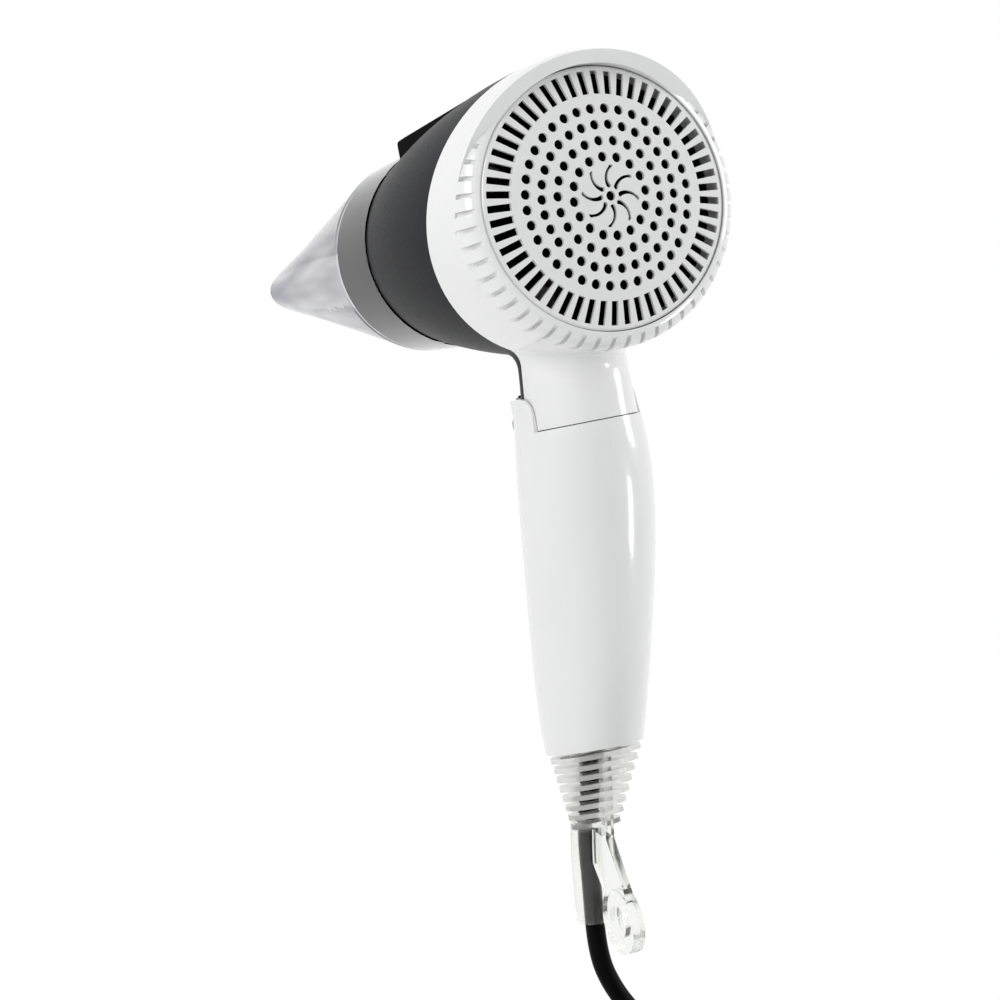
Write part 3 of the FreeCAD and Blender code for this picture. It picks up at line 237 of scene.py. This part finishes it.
def moulded(name, colour, rough, drift=0.05, grain=GRAIN, relief=0.04, coat=0.0, shine=0.5):
    """Moulded plastic: colour, roughness and a fine grain that all drift a little."""
    material, shader = new_material(name)
    links = material.node_tree.links
    wide = noise(material, PATCHES, 2.0)
    fine = noise(material, grain, 4.0)
    darker = [max(0.0, part * (1.0 - drift)) for part in colour[:3]] + [1.0]
    lighter = [min(1.0, part * (1.0 + drift)) for part in colour[:3]] + [1.0]
    mixed = tinted(material, spread(material, wide, 0.0, 1.0), darker, lighter)
    links.new(mixed, shader.inputs["Base Color"])
    links.new(spread(material, fine, rough * 0.88, rough * 1.12), shader.inputs["Roughness"])
    shader.inputs["Coat Weight"].default_value = coat
    shader.inputs["Coat Roughness"].default_value = 0.06
    shader.inputs["Specular IOR Level"].default_value = shine
    bumped(material, shader, fine, relief, GRAIN_HEIGHT)
    return material


def along(material, stretch, scale):
    """Noise drawn out along the barrel, for the nozzle's streaks of painted shade, its roughness
    and its ripples.
    """
    nodes = material.node_tree.nodes
    links = material.node_tree.links
    place = nodes.new("ShaderNodeTexCoord")
    mapping = nodes.new("ShaderNodeMapping")
    mapping.inputs["Scale"].default_value = (1.0 / stretch, 1.0, 1.0)
    texture = nodes.new("ShaderNodeTexNoise")
    texture.inputs["Scale"].default_value = scale
    texture.inputs["Detail"].default_value = 2.0
    links.new(place.outputs["Object"], mapping.inputs["Vector"])
    links.new(mapping.outputs["Vector"], texture.inputs["Vector"])
    return texture.outputs["Fac"]


def clear(name, tint, shade_streak, band, rough):
    """Clear moulded plastic, darker ahead of its seat in streaks of painted shade for the
    reflections inside the cone, with faint ripples.
    """
    material, shader = new_material(name)
    links = material.node_tree.links
    flow = along(material, 7.0, 85.0)
    # Painted shade: ahead of the seat the clear tint darkens in streaks, for the dark reflections
    # inside the cone.
    mixed = tinted(material, spread(material, flow, -0.6, 1.5), tint, shade_streak)
    ahead = graded(material, *NOZZLE_FADE, axis="X")
    links.new(tinted(material, ahead, band, mixed), shader.inputs["Base Color"])
    links.new(spread(material, flow, rough * 0.7, rough * 1.3), shader.inputs["Roughness"])
    shader.inputs["Transmission Weight"].default_value = 1.0
    shader.inputs["IOR"].default_value = 1.22
    bumped(material, shader, flow, 0.25, 0.0004)
    return material


def graded(material, low, high, axis="Z"):
    """0 before one place on an axis and 1 past another."""
    nodes = material.node_tree.nodes
    links = material.node_tree.links
    place = nodes.new("ShaderNodeTexCoord")
    split = nodes.new("ShaderNodeSeparateXYZ")
    fade = nodes.new("ShaderNodeMapRange")
    fade.inputs["From Min"].default_value = low
    fade.inputs["From Max"].default_value = high
    links.new(place.outputs["Object"], split.inputs["Vector"])
    links.new(split.outputs[axis], fade.inputs["Value"])
    return fade.outputs["Result"]


def boot_clear(name, milky, glassy, rough):
    """Soft moulding, milky in its ribs and clear in the sleeve and the ring."""
    material, shader = new_material(name)
    links = material.node_tree.links
    wide = noise(material, 90.0, 2.0)
    height = graded(material, *BOOT_FADE)
    links.new(tinted(material, height, glassy, milky), shader.inputs["Base Color"])
    links.new(spread(material, wide, rough * 0.8, rough * 1.2), shader.inputs["Roughness"])
    through = material.node_tree.nodes.new("ShaderNodeMapRange")
    through.inputs["To Min"].default_value = 0.98
    through.inputs["To Max"].default_value = 0.62
    links.new(height, through.inputs["Value"])
    links.new(through.outputs["Result"], shader.inputs["Transmission Weight"])
    shader.inputs["IOR"].default_value = 1.35
    bumped(material, shader, wide, 0.12, 0.0003)
    return material


def metal(name, colour, rough):
    """Plain metal with fine scratches."""
    material, shader = new_material(name)
    links = material.node_tree.links
    fine = noise(material, 700.0, 5.0)
    darker = [part * 0.85 for part in colour[:3]] + [1.0]
    links.new(tinted(material, spread(material, fine, 0.0, 1.0), darker, colour),
              shader.inputs["Base Color"])
    links.new(spread(material, fine, rough * 0.8, rough * 1.2), shader.inputs["Roughness"])
    shader.inputs["Metallic"].default_value = 1.0
    return material


def finish_node(node, material):
    """Give a CAD piece its finish."""
    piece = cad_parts[node]
    piece.data.materials.clear()
    piece.data.materials.append(material)
    return piece


# ------------------------------------------------------------------ operators

class DRYER_OT_housing(bpy.types.Operator):
    """Finish the housings, the inlet cap, the hood and the black pieces that show inside"""

    bl_idname = "dryer.housing"
    bl_label = "Housing"

    def execute(self, context):
        look = context.scene.dryer_finish
        white = moulded("white_plastic", look.white, 0.22, drift=0.012, relief=0.02, coat=0.6)
        for node in ("rear_shell", "rear_grille", "handle_left_shell", "handle_right_shell"):
            finish_node(node, white)
        charcoal = moulded("charcoal_plastic", look.charcoal, 0.34, drift=0.06, shine=0.015)
        finish_node("front_shell", charcoal)
        black = moulded("black_plastic", look.black, 0.38, drift=0.1, shine=0.004)
        for node in ("top_hood", "hinge_knuckle", "outlet_grille", "fan_duct", "impeller",
                     "motor_end_cap"):
            finish_node(node, black)
        return {"FINISHED"}


# ------------------------------------------------------------------ neck and ears

# The neck's middle line, a distance outside it, and the heights that give the slope of its skin.
NECK_MIDDLE = -0.0135
NECK_OUTSIDE = 0.032
BLEND_LOW, BLEND_HIGH = 0.0585, 0.062

# Radius of the rounded corner between neck and barrel, and how deep its back lies in them.
BLEND_RADIUS = 0.008
BLEND_DEPTH = 0.0012

# How far outside the neck the barrel's height is taken, and over what span its slope.
BLEND_MARGIN = 0.0005
BLEND_SPAN = 0.006
BLEND_STEPS = 96
ARC_STEPS = 8

# Heights at which the parting between the head's two shells is found, where it lies on the
# neck, and how often that stretch is halved.
PARTING_LOW, PARTING_HIGH = 0.059, 0.069
PARTING_REAR, PARTING_FRONT = -0.030, 0.0
HALVINGS = 24

# A distance outside the handle, and shifts that keep a ray off the seams between triangles.
HANDLE_OUTSIDE = 0.06
RAY_SHIFTS = (0.0, 0.00007, -0.00007, 0.0002, -0.0002)

# Hinge pin seen from the side, and the knuckle's radius with its room.
PIVOT = Vector((0.00461, 0.04697))
KNUCKLE_REACH = 0.0125

# Ear backs: where they end along the barrel, their top, and its rounded rear corner.
EAR_REAR, EAR_FRONT = -0.0185, -0.0034
EAR_TOP = 0.0546
EAR_CORNER = 0.006
EAR_COLUMNS, EAR_ROWS = 16, 12

# A place above the handle's top face, beside the neck.
EAR_PROBE = (-0.010, 0.0190, 0.06)

# Clearance to the neck and least thickness of an ear back.
EAR_GAP = 0.0002
EAR_THIN = 0.0003

# How far below the handle's top face its skin is taken, and above it the neck's.
GRIP_BELOW = 0.0005
NECK_ABOVE = 0.002

# How an ear back leans in as it rises: at the rear, what is added in front, and where between.
EAR_LEAN, EAR_LEAN_MORE = 0.09, 0.06
EAR_LEAN_FROM, EAR_LEAN_OVER = -0.009, 0.005


def surface(*nodes):
    """Ray target made of CAD pieces."""
    points = []
    faces = []
    for node in nodes:
        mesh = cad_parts[node].data
        start = len(points)
        points += [vertex.co.copy() for vertex in mesh.vertices]
        faces += [[start + index for index in face.vertices] for face in mesh.polygons]
    return BVHTree.FromPolygons(points, faces)


def edit_all(piece):
    """Open a piece, and it alone, in edit mode with all of it selected."""
    bpy.ops.object.select_all(action="DESELECT")
    piece.select_set(True)
    bpy.context.view_layer.objects.active = piece
    bpy.ops.object.mode_set(mode="EDIT")
    bpy.ops.mesh.select_all(action="SELECT")


def solid_piece(name, points, faces, material, body):
    """A closed piece of its own, smooth except at its sharp edges."""
    mesh = bpy.data.meshes.new(name)
    mesh.from_pydata(points, [], faces)
    mesh.update()
    piece = bpy.data.objects.new(name, mesh)
    bpy.context.scene.collection.objects.link(piece)
    edit_all(piece)
    bpy.ops.mesh.normals_make_consistent(inside=False)
    bpy.ops.object.mode_set(mode="OBJECT")
    bpy.ops.object.shade_smooth_by_angle(angle=math.radians(40))
    piece.data.materials.append(material)
    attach(piece, body)
    return piece


def cut_off(piece, spot, normal):
    """Take away what lies on the far side of a plane, and close the cut."""
    edit_all(piece)
    bpy.ops.mesh.bisect(plane_co=spot, plane_no=normal, use_fill=True, clear_outer=True)
    bpy.ops.object.mode_set(mode="OBJECT")


def neck_reach(shell, way, height):
    """Distance from the neck's middle line to its skin, that way at that height."""
    start = Vector((NECK_MIDDLE, 0.0, height)) + way * NECK_OUTSIDE
    spot = shell.ray_cast(start, -way)[0]
    return (spot.xy - Vector((NECK_MIDDLE, 0.0))).length


def barrel_height(shell, way, reach):
    """Height of the barrel's underside at that distance from the neck's middle line."""
    start = Vector((NECK_MIDDLE, 0.0, BLEND_HIGH)) + way * reach
    return shell.ray_cast(start, Vector((0, 0, 1)))[0].z


def blend_ring(shell, angle):
    """Outline of the blend between neck and barrel, in one upright plane."""
    way = Vector((math.cos(angle), math.sin(angle), 0.0))
    near, far = (neck_reach(shell, way, height) for height in (BLEND_LOW, BLEND_HIGH))
    lean = (far - near) / (BLEND_HIGH - BLEND_LOW)
    height = barrel_height(shell, way, far + BLEND_MARGIN)
    reach = far + lean * (height - BLEND_HIGH)
    corner = Vector((reach, height))
    down = Vector((-lean, -1.0)).normalized()
    beyond = reach + BLEND_SPAN
    out = (Vector((beyond, barrel_height(shell, way, beyond))) - corner).normalized()
    half_turn = (math.pi - down.angle(out)) / 2
    length = BLEND_RADIUS * math.tan(half_turn)
    first = corner + down * length
    last = corner + out * length
    last.y = barrel_height(shell, way, last.x)
    inward = -(down + out).normalized() * BLEND_DEPTH
    outline = [first + inward]
    for step in range(ARC_STEPS + 1):
        share = step / ARC_STEPS
        outline.append(first * (1 - share) ** 2 + corner * 2 * share * (1 - share)
                       + last * share ** 2)
    outline += [last + inward, corner + inward]
    middle = Vector((NECK_MIDDLE, 0.0, 0.0))
    return [middle + way * spot.x + Vector((0, 0, spot.y)) for spot in outline]


def ring_faces(count):
    """Faces between the blend's outlines, each of so many points, round to the first."""
    faces = []
    for step in range(BLEND_STEPS):
        here = step * count
        there = (step + 1) % BLEND_STEPS * count
        for side in range(count):
            beside = (side + 1) % count
            faces.append([here + side, here + beside, there + beside, there + side])
    return faces


def parting_x(front, rear, height):
    """Where the parting between the two head shells crosses the neck's left side."""
    behind, ahead = PARTING_REAR, PARTING_FRONT
    for _ in range(HALVINGS):
        middle = (behind + ahead) / 2
        start = Vector((middle, HANDLE_OUTSIDE, height))
        hit_front = front.ray_cast(start, Vector((0, -1, 0)))[3]
        hit_rear = rear.ray_cast(start, Vector((0, -1, 0)))[3]
        if (hit_front or 1.0) < (hit_rear or 1.0):
            ahead = middle
        else:
            behind = middle
    return (behind + ahead) / 2


def side_reach(shell, x, height, side):
    """How far out a skin lies, looking in from one side."""
    for shift in RAY_SHIFTS:
        start = Vector((x + shift, side * HANDLE_OUTSIDE, height + shift))
        spot = shell.ray_cast(start, Vector((0, -side, 0)))[0]
        if spot is not None and spot.y * side > 0:
            return spot.y * side
    raise RuntimeError(f"no skin at {x:.4f}, {height:.4f}")


def ear_skins(handle, neck, side):
    """Outer points, then inner points, of the back of the ear on one side, row by row."""
    probe = Vector((EAR_PROBE[0], side * EAR_PROBE[1], EAR_PROBE[2]))
    seat = handle.ray_cast(probe, Vector((0, 0, -1)))[0].z
    outside = []
    inside = []
    for row in range(EAR_ROWS + 1):
        height = seat + (EAR_TOP - seat) * row / EAR_ROWS
        rise = max(0.0, height - (EAR_TOP - EAR_CORNER))
        trim = EAR_CORNER - math.sqrt(EAR_CORNER * EAR_CORNER - rise * rise)
        for column in range(EAR_COLUMNS + 1):
            x = EAR_REAR + trim + (EAR_FRONT - EAR_REAR - trim) * column / EAR_COLUMNS
            grip = side_reach(handle, x, seat - GRIP_BELOW, side)
            reach = max((Vector((x, height)) - PIVOT).length, KNUCKLE_REACH)
            inner = side_reach(neck, PIVOT.x - reach, seat + NECK_ABOVE, side) + EAR_GAP
            ahead = min(1.0, max(0.0, (x - EAR_LEAN_FROM) / EAR_LEAN_OVER))
            outer = grip - (EAR_LEAN + EAR_LEAN_MORE * ahead) * (height - seat)
            outer = max(outer, inner + EAR_THIN)
            outside.append(Vector((x, side * outer, height)))
            inside.append(Vector((x, side * inner, height)))
    return outside + inside


def ear_faces():
    """Faces of the two skins of an ear's back and of the edge between them."""
    wide = EAR_COLUMNS + 1
    total = wide * (EAR_ROWS + 1)
    faces = []
    for row in range(EAR_ROWS):
        for column in range(EAR_COLUMNS):
            corner = row * wide + column
            quad = [corner, corner + 1, corner + 1 + wide, corner + wide]
            faces.append(quad)
            faces.append([total + index for index in reversed(quad)])
    rim = (list(range(EAR_COLUMNS))
           + [row * wide + EAR_COLUMNS for row in range(EAR_ROWS)]
           + [EAR_ROWS * wide + column for column in range(EAR_COLUMNS, 0, -1)]
           + [row * wide for row in range(EAR_ROWS, 0, -1)])
    for here, there in zip(rim, rim[1:] + rim[:1]):
        faces.append([here, there, total + there, total + here])
    return faces


class DRYER_OT_neck_blend(bpy.types.Operator):
    """Round the corner between the neck and the barrel"""

    bl_idname = "dryer.neck_blend"
    bl_label = "Neck blend"

    def execute(self, context):
        front = surface("front_shell")
        rear = surface("rear_shell")
        shell = surface("front_shell", "rear_shell")
        points = []
        for step in range(BLEND_STEPS):
            points += blend_ring(shell, step * math.tau / BLEND_STEPS)
        faces = ring_faces(len(points) // BLEND_STEPS)
        low_x = parting_x(front, rear, PARTING_LOW)
        high_x = parting_x(front, rear, PARTING_HIGH)
        normal = Vector((PARTING_HIGH - PARTING_LOW, 0.0, low_x - high_x)).normalized()
        spot = Vector((low_x, 0.0, PARTING_LOW))
        for name, node, slot, away in (
                ("neck_blend_rear", "rear_shell", "white_shell", normal),
                ("neck_blend_front", "front_shell", "charcoal_shell", -normal)):
            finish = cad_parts[node].data.materials[0]
            piece = solid_piece(name, points, faces, finish, "head")
            cut_off(piece, spot, away)
        return {"FINISHED"}


class DRYER_OT_ear_backs(bpy.types.Operator):
    """Carry the handle's ears on behind the hinge, over the neck's sides"""

    bl_idname = "dryer.ear_backs"
    bl_label = "Ear backs"

    def execute(self, context):
        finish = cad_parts["handle_left_shell"].data.materials[0]
        neck = surface("front_shell", "rear_shell")
        for side, word in ((1, "left"), (-1, "right")):
            points = ear_skins(surface(f"handle_{word}_shell"), neck, side)
            solid_piece(f"ear_back_{word}", points, ear_faces(), finish, "handle")
        return {"FINISHED"}


class DRYER_OT_nozzle(bpy.types.Operator):
    """Finish the clear nozzle"""

    bl_idname = "dryer.nozzle"
    bl_label = "Nozzle"

    def execute(self, context):
        look = context.scene.dryer_finish
        # Ahead of its seat the nozzle's tint carries streaks of painted shade.
        finish_node("nozzle", clear("clear_plastic", look.nozzle, look.painted_cone_shade, look.band, 0.05))
        return {"FINISHED"}


class DRYER_OT_controls(bpy.types.Operator):
    """Finish the switch panel and its controls"""

    bl_idname = "dryer.controls"
    bl_label = "Controls"

    def execute(self, context):
        look = context.scene.dryer_finish
        panel = moulded("panel_plastic", look.black, 0.28, drift=0.08, shine=0.12)
        keys = moulded("key_plastic", look.keys, 0.45, drift=0.1, shine=0.15)
        finish_node("switch_plate", panel)
        for node in ("speed_slider", "heat_slider", "cool_button"):
            finish_node(node, keys)
        return {"FINISHED"}


class DRYER_OT_insides(bpy.types.Operator):
    """Finish the motor, heater, switches and leads"""

    bl_idname = "dryer.insides"
    bl_label = "Insides"

    def execute(self, context):
        steel = metal("plated_steel", (0.55, 0.55, 0.56, 1.0), 0.3)
        for node in ("motor_can", "motor_shaft", "thermal_fuse", "handle_screws", "hinge_pin"):
            finish_node(node, steel)
        finish_node("heater_coils", metal("ribbon_alloy", (0.45, 0.43, 0.41, 1.0), 0.4))
        mica = moulded("mica_sheet", (0.55, 0.48, 0.38, 1.0), 0.4, drift=0.15, grain=400.0)
        finish_node("heater_tube", mica)
        finish_node("mica_cross", mica)
        finish_node("rectifier_board",
                    moulded("board_laminate", (0.36, 0.24, 0.09, 1.0), 0.5, drift=0.1))
        pale = moulded("pale_block", (0.75, 0.75, 0.70, 1.0), 0.45, drift=0.05)
        finish_node("thermostat", pale)
        finish_node("capacitor", pale)
        dark = moulded("switch_phenolic", (0.03, 0.03, 0.03, 1.0), 0.5, drift=0.1)
        for node in ("speed_switch_body", "heat_switch_body", "cool_switch_body", "cord_clamp"):
            finish_node(node, dark)
        wire = moulded("wire_sheath", (0.5, 0.05, 0.04, 1.0), 0.4, drift=0.05)
        finish_node("handle_leads", wire)
        finish_node("head_leads", wire)
        return {"FINISHED"}


class DRYER_OT_boot(bpy.types.Operator):
    """Finish the clear boot, its sleeve and the hanging ring"""

    bl_idname = "dryer.boot"
    bl_label = "Cord boot"

    def execute(self, context):
        look = context.scene.dryer_finish
        finish_node("strain_relief", boot_clear("boot_plastic", look.boot, look.sleeve, 0.12))
        return {"FINISHED"}


def coil_lanes(outer, diameter):
    """Radius and layer of each turn of the coil, in the order in which they are wound."""
    middle, inner = outer - diameter, outer - 2 * diameter
    return [(outer, 0), (middle, 0), (inner, 0), (inner, 1), (middle, 1), (outer, 1),
            (outer, 2), (middle, 2)]


def cord_points(turns, diameter):
    """The free stretch, the coil's turns and the tail to the plug."""
    low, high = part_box("cord_coil")
    middle = (Vector(low) + Vector(high)) / 2
    lanes = coil_lanes((high[0] - low[0]) / 2 - diameter / 2, diameter)
    floor = low[2] + diameter / 2
    points = [Vector(point) for point in CORD_ROUTE]
    for step in range(1, int(turns * TURN_POINTS + TURN_POINTS / 2) + 1):
        turn = step / TURN_POINTS
        lane = min(int(turn), len(lanes) - 2)
        share = turn - lane
        ease = share * share * (3 - 2 * share)
        radius = lanes[lane][0] * (1 - ease) + lanes[lane + 1][0] * ease
        layer = lanes[lane][1] * (1 - ease) + lanes[lane + 1][1] * ease
        angle = -turn * math.tau
        points.append(Vector((middle.x + radius * math.cos(angle),
                              middle.y + radius * math.sin(angle),
                              floor + layer * diameter * LAYER_RISE)))
    low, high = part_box("cord_tail")
    tail_x = (low[0] + high[0]) / 2
    tail_z = (low[2] + high[2]) / 2
    points.append(Vector((tail_x, low[1] + TAIL_START, tail_z)))
    points.append(Vector((tail_x, high[1], tail_z)))
    return points


def round_lead(name, points, diameter):
    """A round lead along a smooth line through its points."""
    curve = bpy.data.curves.new(name, "CURVE")
    curve.dimensions = "3D"
    curve.bevel_depth = diameter / 2
    curve.bevel_resolution = 5
    curve.use_fill_caps = True
    curve.resolution_u = 8
    spline = curve.splines.new("NURBS")
    spline.points.add(len(points) - 1)
    for spot, point in zip(spline.points, points):
        spot.co = (*point, 1.0)
    spline.order_u = 3
    spline.use_endpoint_u = True
    piece = bpy.data.objects.new(name, curve)
    bpy.context.scene.collection.objects.link(piece)
    return piece


class DRYER_OT_mains_cord(bpy.types.Operator):
    """Lay the mains lead: its free stretch, the put-away coil and the tail to the plug"""

    bl_idname = "dryer.mains_cord"
    bl_label = "Mains lead"

    def execute(self, context):
        look = context.scene.dryer_finish
        lead = context.scene.dryer_cord
        piece = round_lead("mains_lead", cord_points(lead.turns, lead.diameter), lead.diameter)
        sheath = moulded("cord_sheath", look.cord, 0.4, drift=0.1, relief=0.08, shine=0.04)
        piece.data.materials.append(sheath)
        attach(piece, "handle")
        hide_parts("mains_cord", "cord_coil", "cord_tail")
        plug = moulded("plug_plastic", (0.008, 0.008, 0.0085, 1.0), 0.4, drift=0.1, shine=0.12)
        finish_node("plug_body", plug)
        finish_node("cord_tie", plug)
        finish_node("inner_cord", sheath)
        finish_node("plug_pins", metal("pin_nickel", (0.70, 0.66, 0.55, 1.0), 0.25))
        return {"FINISHED"}


# ------------------------------------------------------------------ stage

# Width of the floor, and the distances from its middle between which it fades to white.
FLOOR_WIDTH = 12.0
FLOOR_FADE = (0.08, 0.17)
WHITE = (1.0, 1.0, 1.0, 1.0)


def seen_ray(nodes, links):
    """1 where the camera looks, straight or by way of a mirror or clear plastic."""
    path = nodes.new("ShaderNodeLightPath")
    value = path.outputs["Is Camera Ray"]
    for name in ("Is Glossy Ray", "Is Transmission Ray"):
        either = nodes.new("ShaderNodeMath")
        either.operation = "MAXIMUM"
        links.new(value, either.inputs[0])
        links.new(path.outputs[name], either.inputs[1])
        value = either.outputs["Value"]
    return value


def away_from_middle(nodes, links):
    """0 near the middle of the floor, where the shadow lies, and 1 further out."""
    place = nodes.new("ShaderNodeTexCoord")
    length = nodes.new("ShaderNodeVectorMath")
    length.operation = "LENGTH"
    links.new(place.outputs["Object"], length.inputs[0])
    fade = nodes.new("ShaderNodeMapRange")
    fade.interpolation_type = "SMOOTHSTEP"
    fade.inputs["From Min"].default_value = FLOOR_FADE[0]
    fade.inputs["From Max"].default_value = FLOOR_FADE[1]
    links.new(length.outputs["Value"], fade.inputs["Value"])
    return fade.outputs["Result"]


def lamp(name, spot, aim, size, power):
    """A soft rectangular lamp that points at a place."""
    light = bpy.data.lights.new(name, "AREA")
    light.shape = "RECTANGLE"
    light.size, light.size_y = size
    light.energy = power
    holder = bpy.data.objects.new(name, light)
    bpy.context.scene.collection.objects.link(holder)
    holder.location = spot
    holder.rotation_euler = (Vector(aim) - Vector(spot)).to_track_quat("-Z", "Y").to_euler()
    return holder


class DRYER_OT_stage(bpy.types.Operator):
    """Set up the floor, the soft lamps, the background and the camera"""

    bl_idname = "dryer.stage"
    bl_label = "Stage"

    def execute(self, context):
        scene = context.scene
        scene.view_settings.view_transform = "Standard"
        self.background(scene)
        self.floor()
        self.lamps(scene.dryer_stage)
        self.camera(scene)
        return {"FINISHED"}

    def lamps(self, stage):
        """The soft lamps, and a strip that only shines in the gloss of the handle."""
        lamp("key_lamp", (-0.5, 1.4, 0.7), (0, 0, 0.05), (0.9, 0.9), stage.key)
        lamp("side_lamp", (-0.4, -1.3, 0.2), (0, 0, 0), (0.35, 1.2), stage.side)
        lamp("top_lamp", (0.2, 0.1, 1.4), (0, 0, 0), (1.0, 1.0), stage.top)
        strip = lamp("gloss_strip", (-0.198, -0.270, -0.135), (-0.026, -0.005, 0.012),
                     (0.05, 0.10), 0.16)
        strip.visible_diffuse = False
        strip.visible_transmission = False
        strip.visible_camera = False

    def camera(self, scene):
        """The camera, at its place in the stage's settings."""
        stage = scene.dryer_stage
        camera = bpy.data.cameras.new("camera")
        camera.lens = stage.lens
        camera.sensor_width = 36.0
        camera.clip_end = 30.0
        holder = bpy.data.objects.new("camera", camera)
        scene.collection.objects.link(holder)
        holder.location = stage.camera_spot
        holder.rotation_euler = stage.camera_turn
        scene.camera = holder

    def background(self, scene):
        """Even light from all round, which shows as plain white."""
        world = bpy.data.worlds.new("studio")
        scene.world = world
        world.use_nodes = True
        nodes = world.node_tree.nodes
        links = world.node_tree.links
        nodes.clear()
        output = nodes.new("ShaderNodeOutputWorld")
        fill = nodes.new("ShaderNodeBackground")
        fill.inputs["Color"].default_value = (0.96, 0.98, 1.0, 1.0)
        fill.inputs["Strength"].default_value = scene.dryer_stage.fill
        shown = nodes.new("ShaderNodeBackground")
        shown.inputs["Color"].default_value = WHITE
        mix = nodes.new("ShaderNodeMixShader")
        links.new(seen_ray(nodes, links), mix.inputs["Fac"])
        links.new(fill.outputs["Background"], mix.inputs[1])
        links.new(shown.outputs["Background"], mix.inputs[2])
        links.new(mix.outputs["Shader"], output.inputs["Surface"])

    def floor(self):
        """A pale floor that keeps the shadow and turns white further out."""
        bpy.ops.object.select_all(action="DESELECT")
        bpy.ops.mesh.primitive_plane_add(size=FLOOR_WIDTH, location=(0, 0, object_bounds()[0][2]))
        piece = bpy.context.object
        piece.name = "floor"
        material, shader = new_material("pale_floor")
        nodes = material.node_tree.nodes
        links = material.node_tree.links
        shader.inputs["Base Color"].default_value = (0.86, 0.86, 0.86, 1.0)
        shader.inputs["Roughness"].default_value = 0.9
        shown = nodes.new("ShaderNodeEmission")
        shown.inputs["Color"].default_value = WHITE
        far_and_seen = nodes.new("ShaderNodeMath")
        far_and_seen.operation = "MULTIPLY"
        links.new(seen_ray(nodes, links), far_and_seen.inputs[0])
        links.new(away_from_middle(nodes, links), far_and_seen.inputs[1])
        mix = nodes.new("ShaderNodeMixShader")
        links.new(far_and_seen.outputs["Value"], mix.inputs["Fac"])
        links.new(shader.outputs["BSDF"], mix.inputs[1])
        links.new(shown.outputs["Emission"], mix.inputs[2])
        links.new(mix.outputs["Shader"], nodes["Material Output"].inputs["Surface"])
        piece.data.materials.append(material)
        piece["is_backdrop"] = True


# ------------------------------------------------------------------ add-on

class DRYER_PT_panel(bpy.types.Panel):
    """Pieces and finishes of the hair dryer"""

    bl_idname = "DRYER_PT_panel"
    bl_label = "Hair Dryer"
    bl_space_type = "VIEW_3D"
    bl_region_type = "UI"
    bl_category = "Hair Dryer"

    def draw(self, context):
        scene = context.scene
        for group in (scene.dryer_finish, scene.dryer_cord, scene.dryer_stage):
            for name in group.bl_rna.properties.keys():
                if name not in ("rna_type", "name"):
                    self.layout.prop(group, name)
        for step in STEPS:
            self.layout.operator(step.bl_idname)


STEPS = (
    DRYER_OT_housing,
    DRYER_OT_neck_blend,
    DRYER_OT_ear_backs,
    DRYER_OT_nozzle,
    DRYER_OT_controls,
    DRYER_OT_insides,
    DRYER_OT_boot,
    DRYER_OT_mains_cord,
    DRYER_OT_stage,
)
GROUPS = {
    "dryer_finish": DryerFinish,
    "dryer_cord": DryerCord,
    "dryer_stage": DryerStage,
}


def register():
    """Register the classes and hang their settings on the scene."""
    for thing in (*GROUPS.values(), *STEPS, DRYER_PT_panel):
        bpy.utils.register_class(thing)
    for name, group in GROUPS.items():
        setattr(bpy.types.Scene, name, bpy.props.PointerProperty(type=group))


def unregister():
    """Undo what register did."""
    for name in GROUPS:
        delattr(bpy.types.Scene, name)
    for thing in reversed((*GROUPS.values(), *STEPS, DRYER_PT_panel)):
        bpy.utils.unregister_class(thing)


def main():
    """Build the dryer's looks and its stage."""
    register()
    for step in STEPS:
        group, name = step.bl_idname.split(".")
        getattr(getattr(bpy.ops, group), name)()


if __name__ == "__main__":
    main()
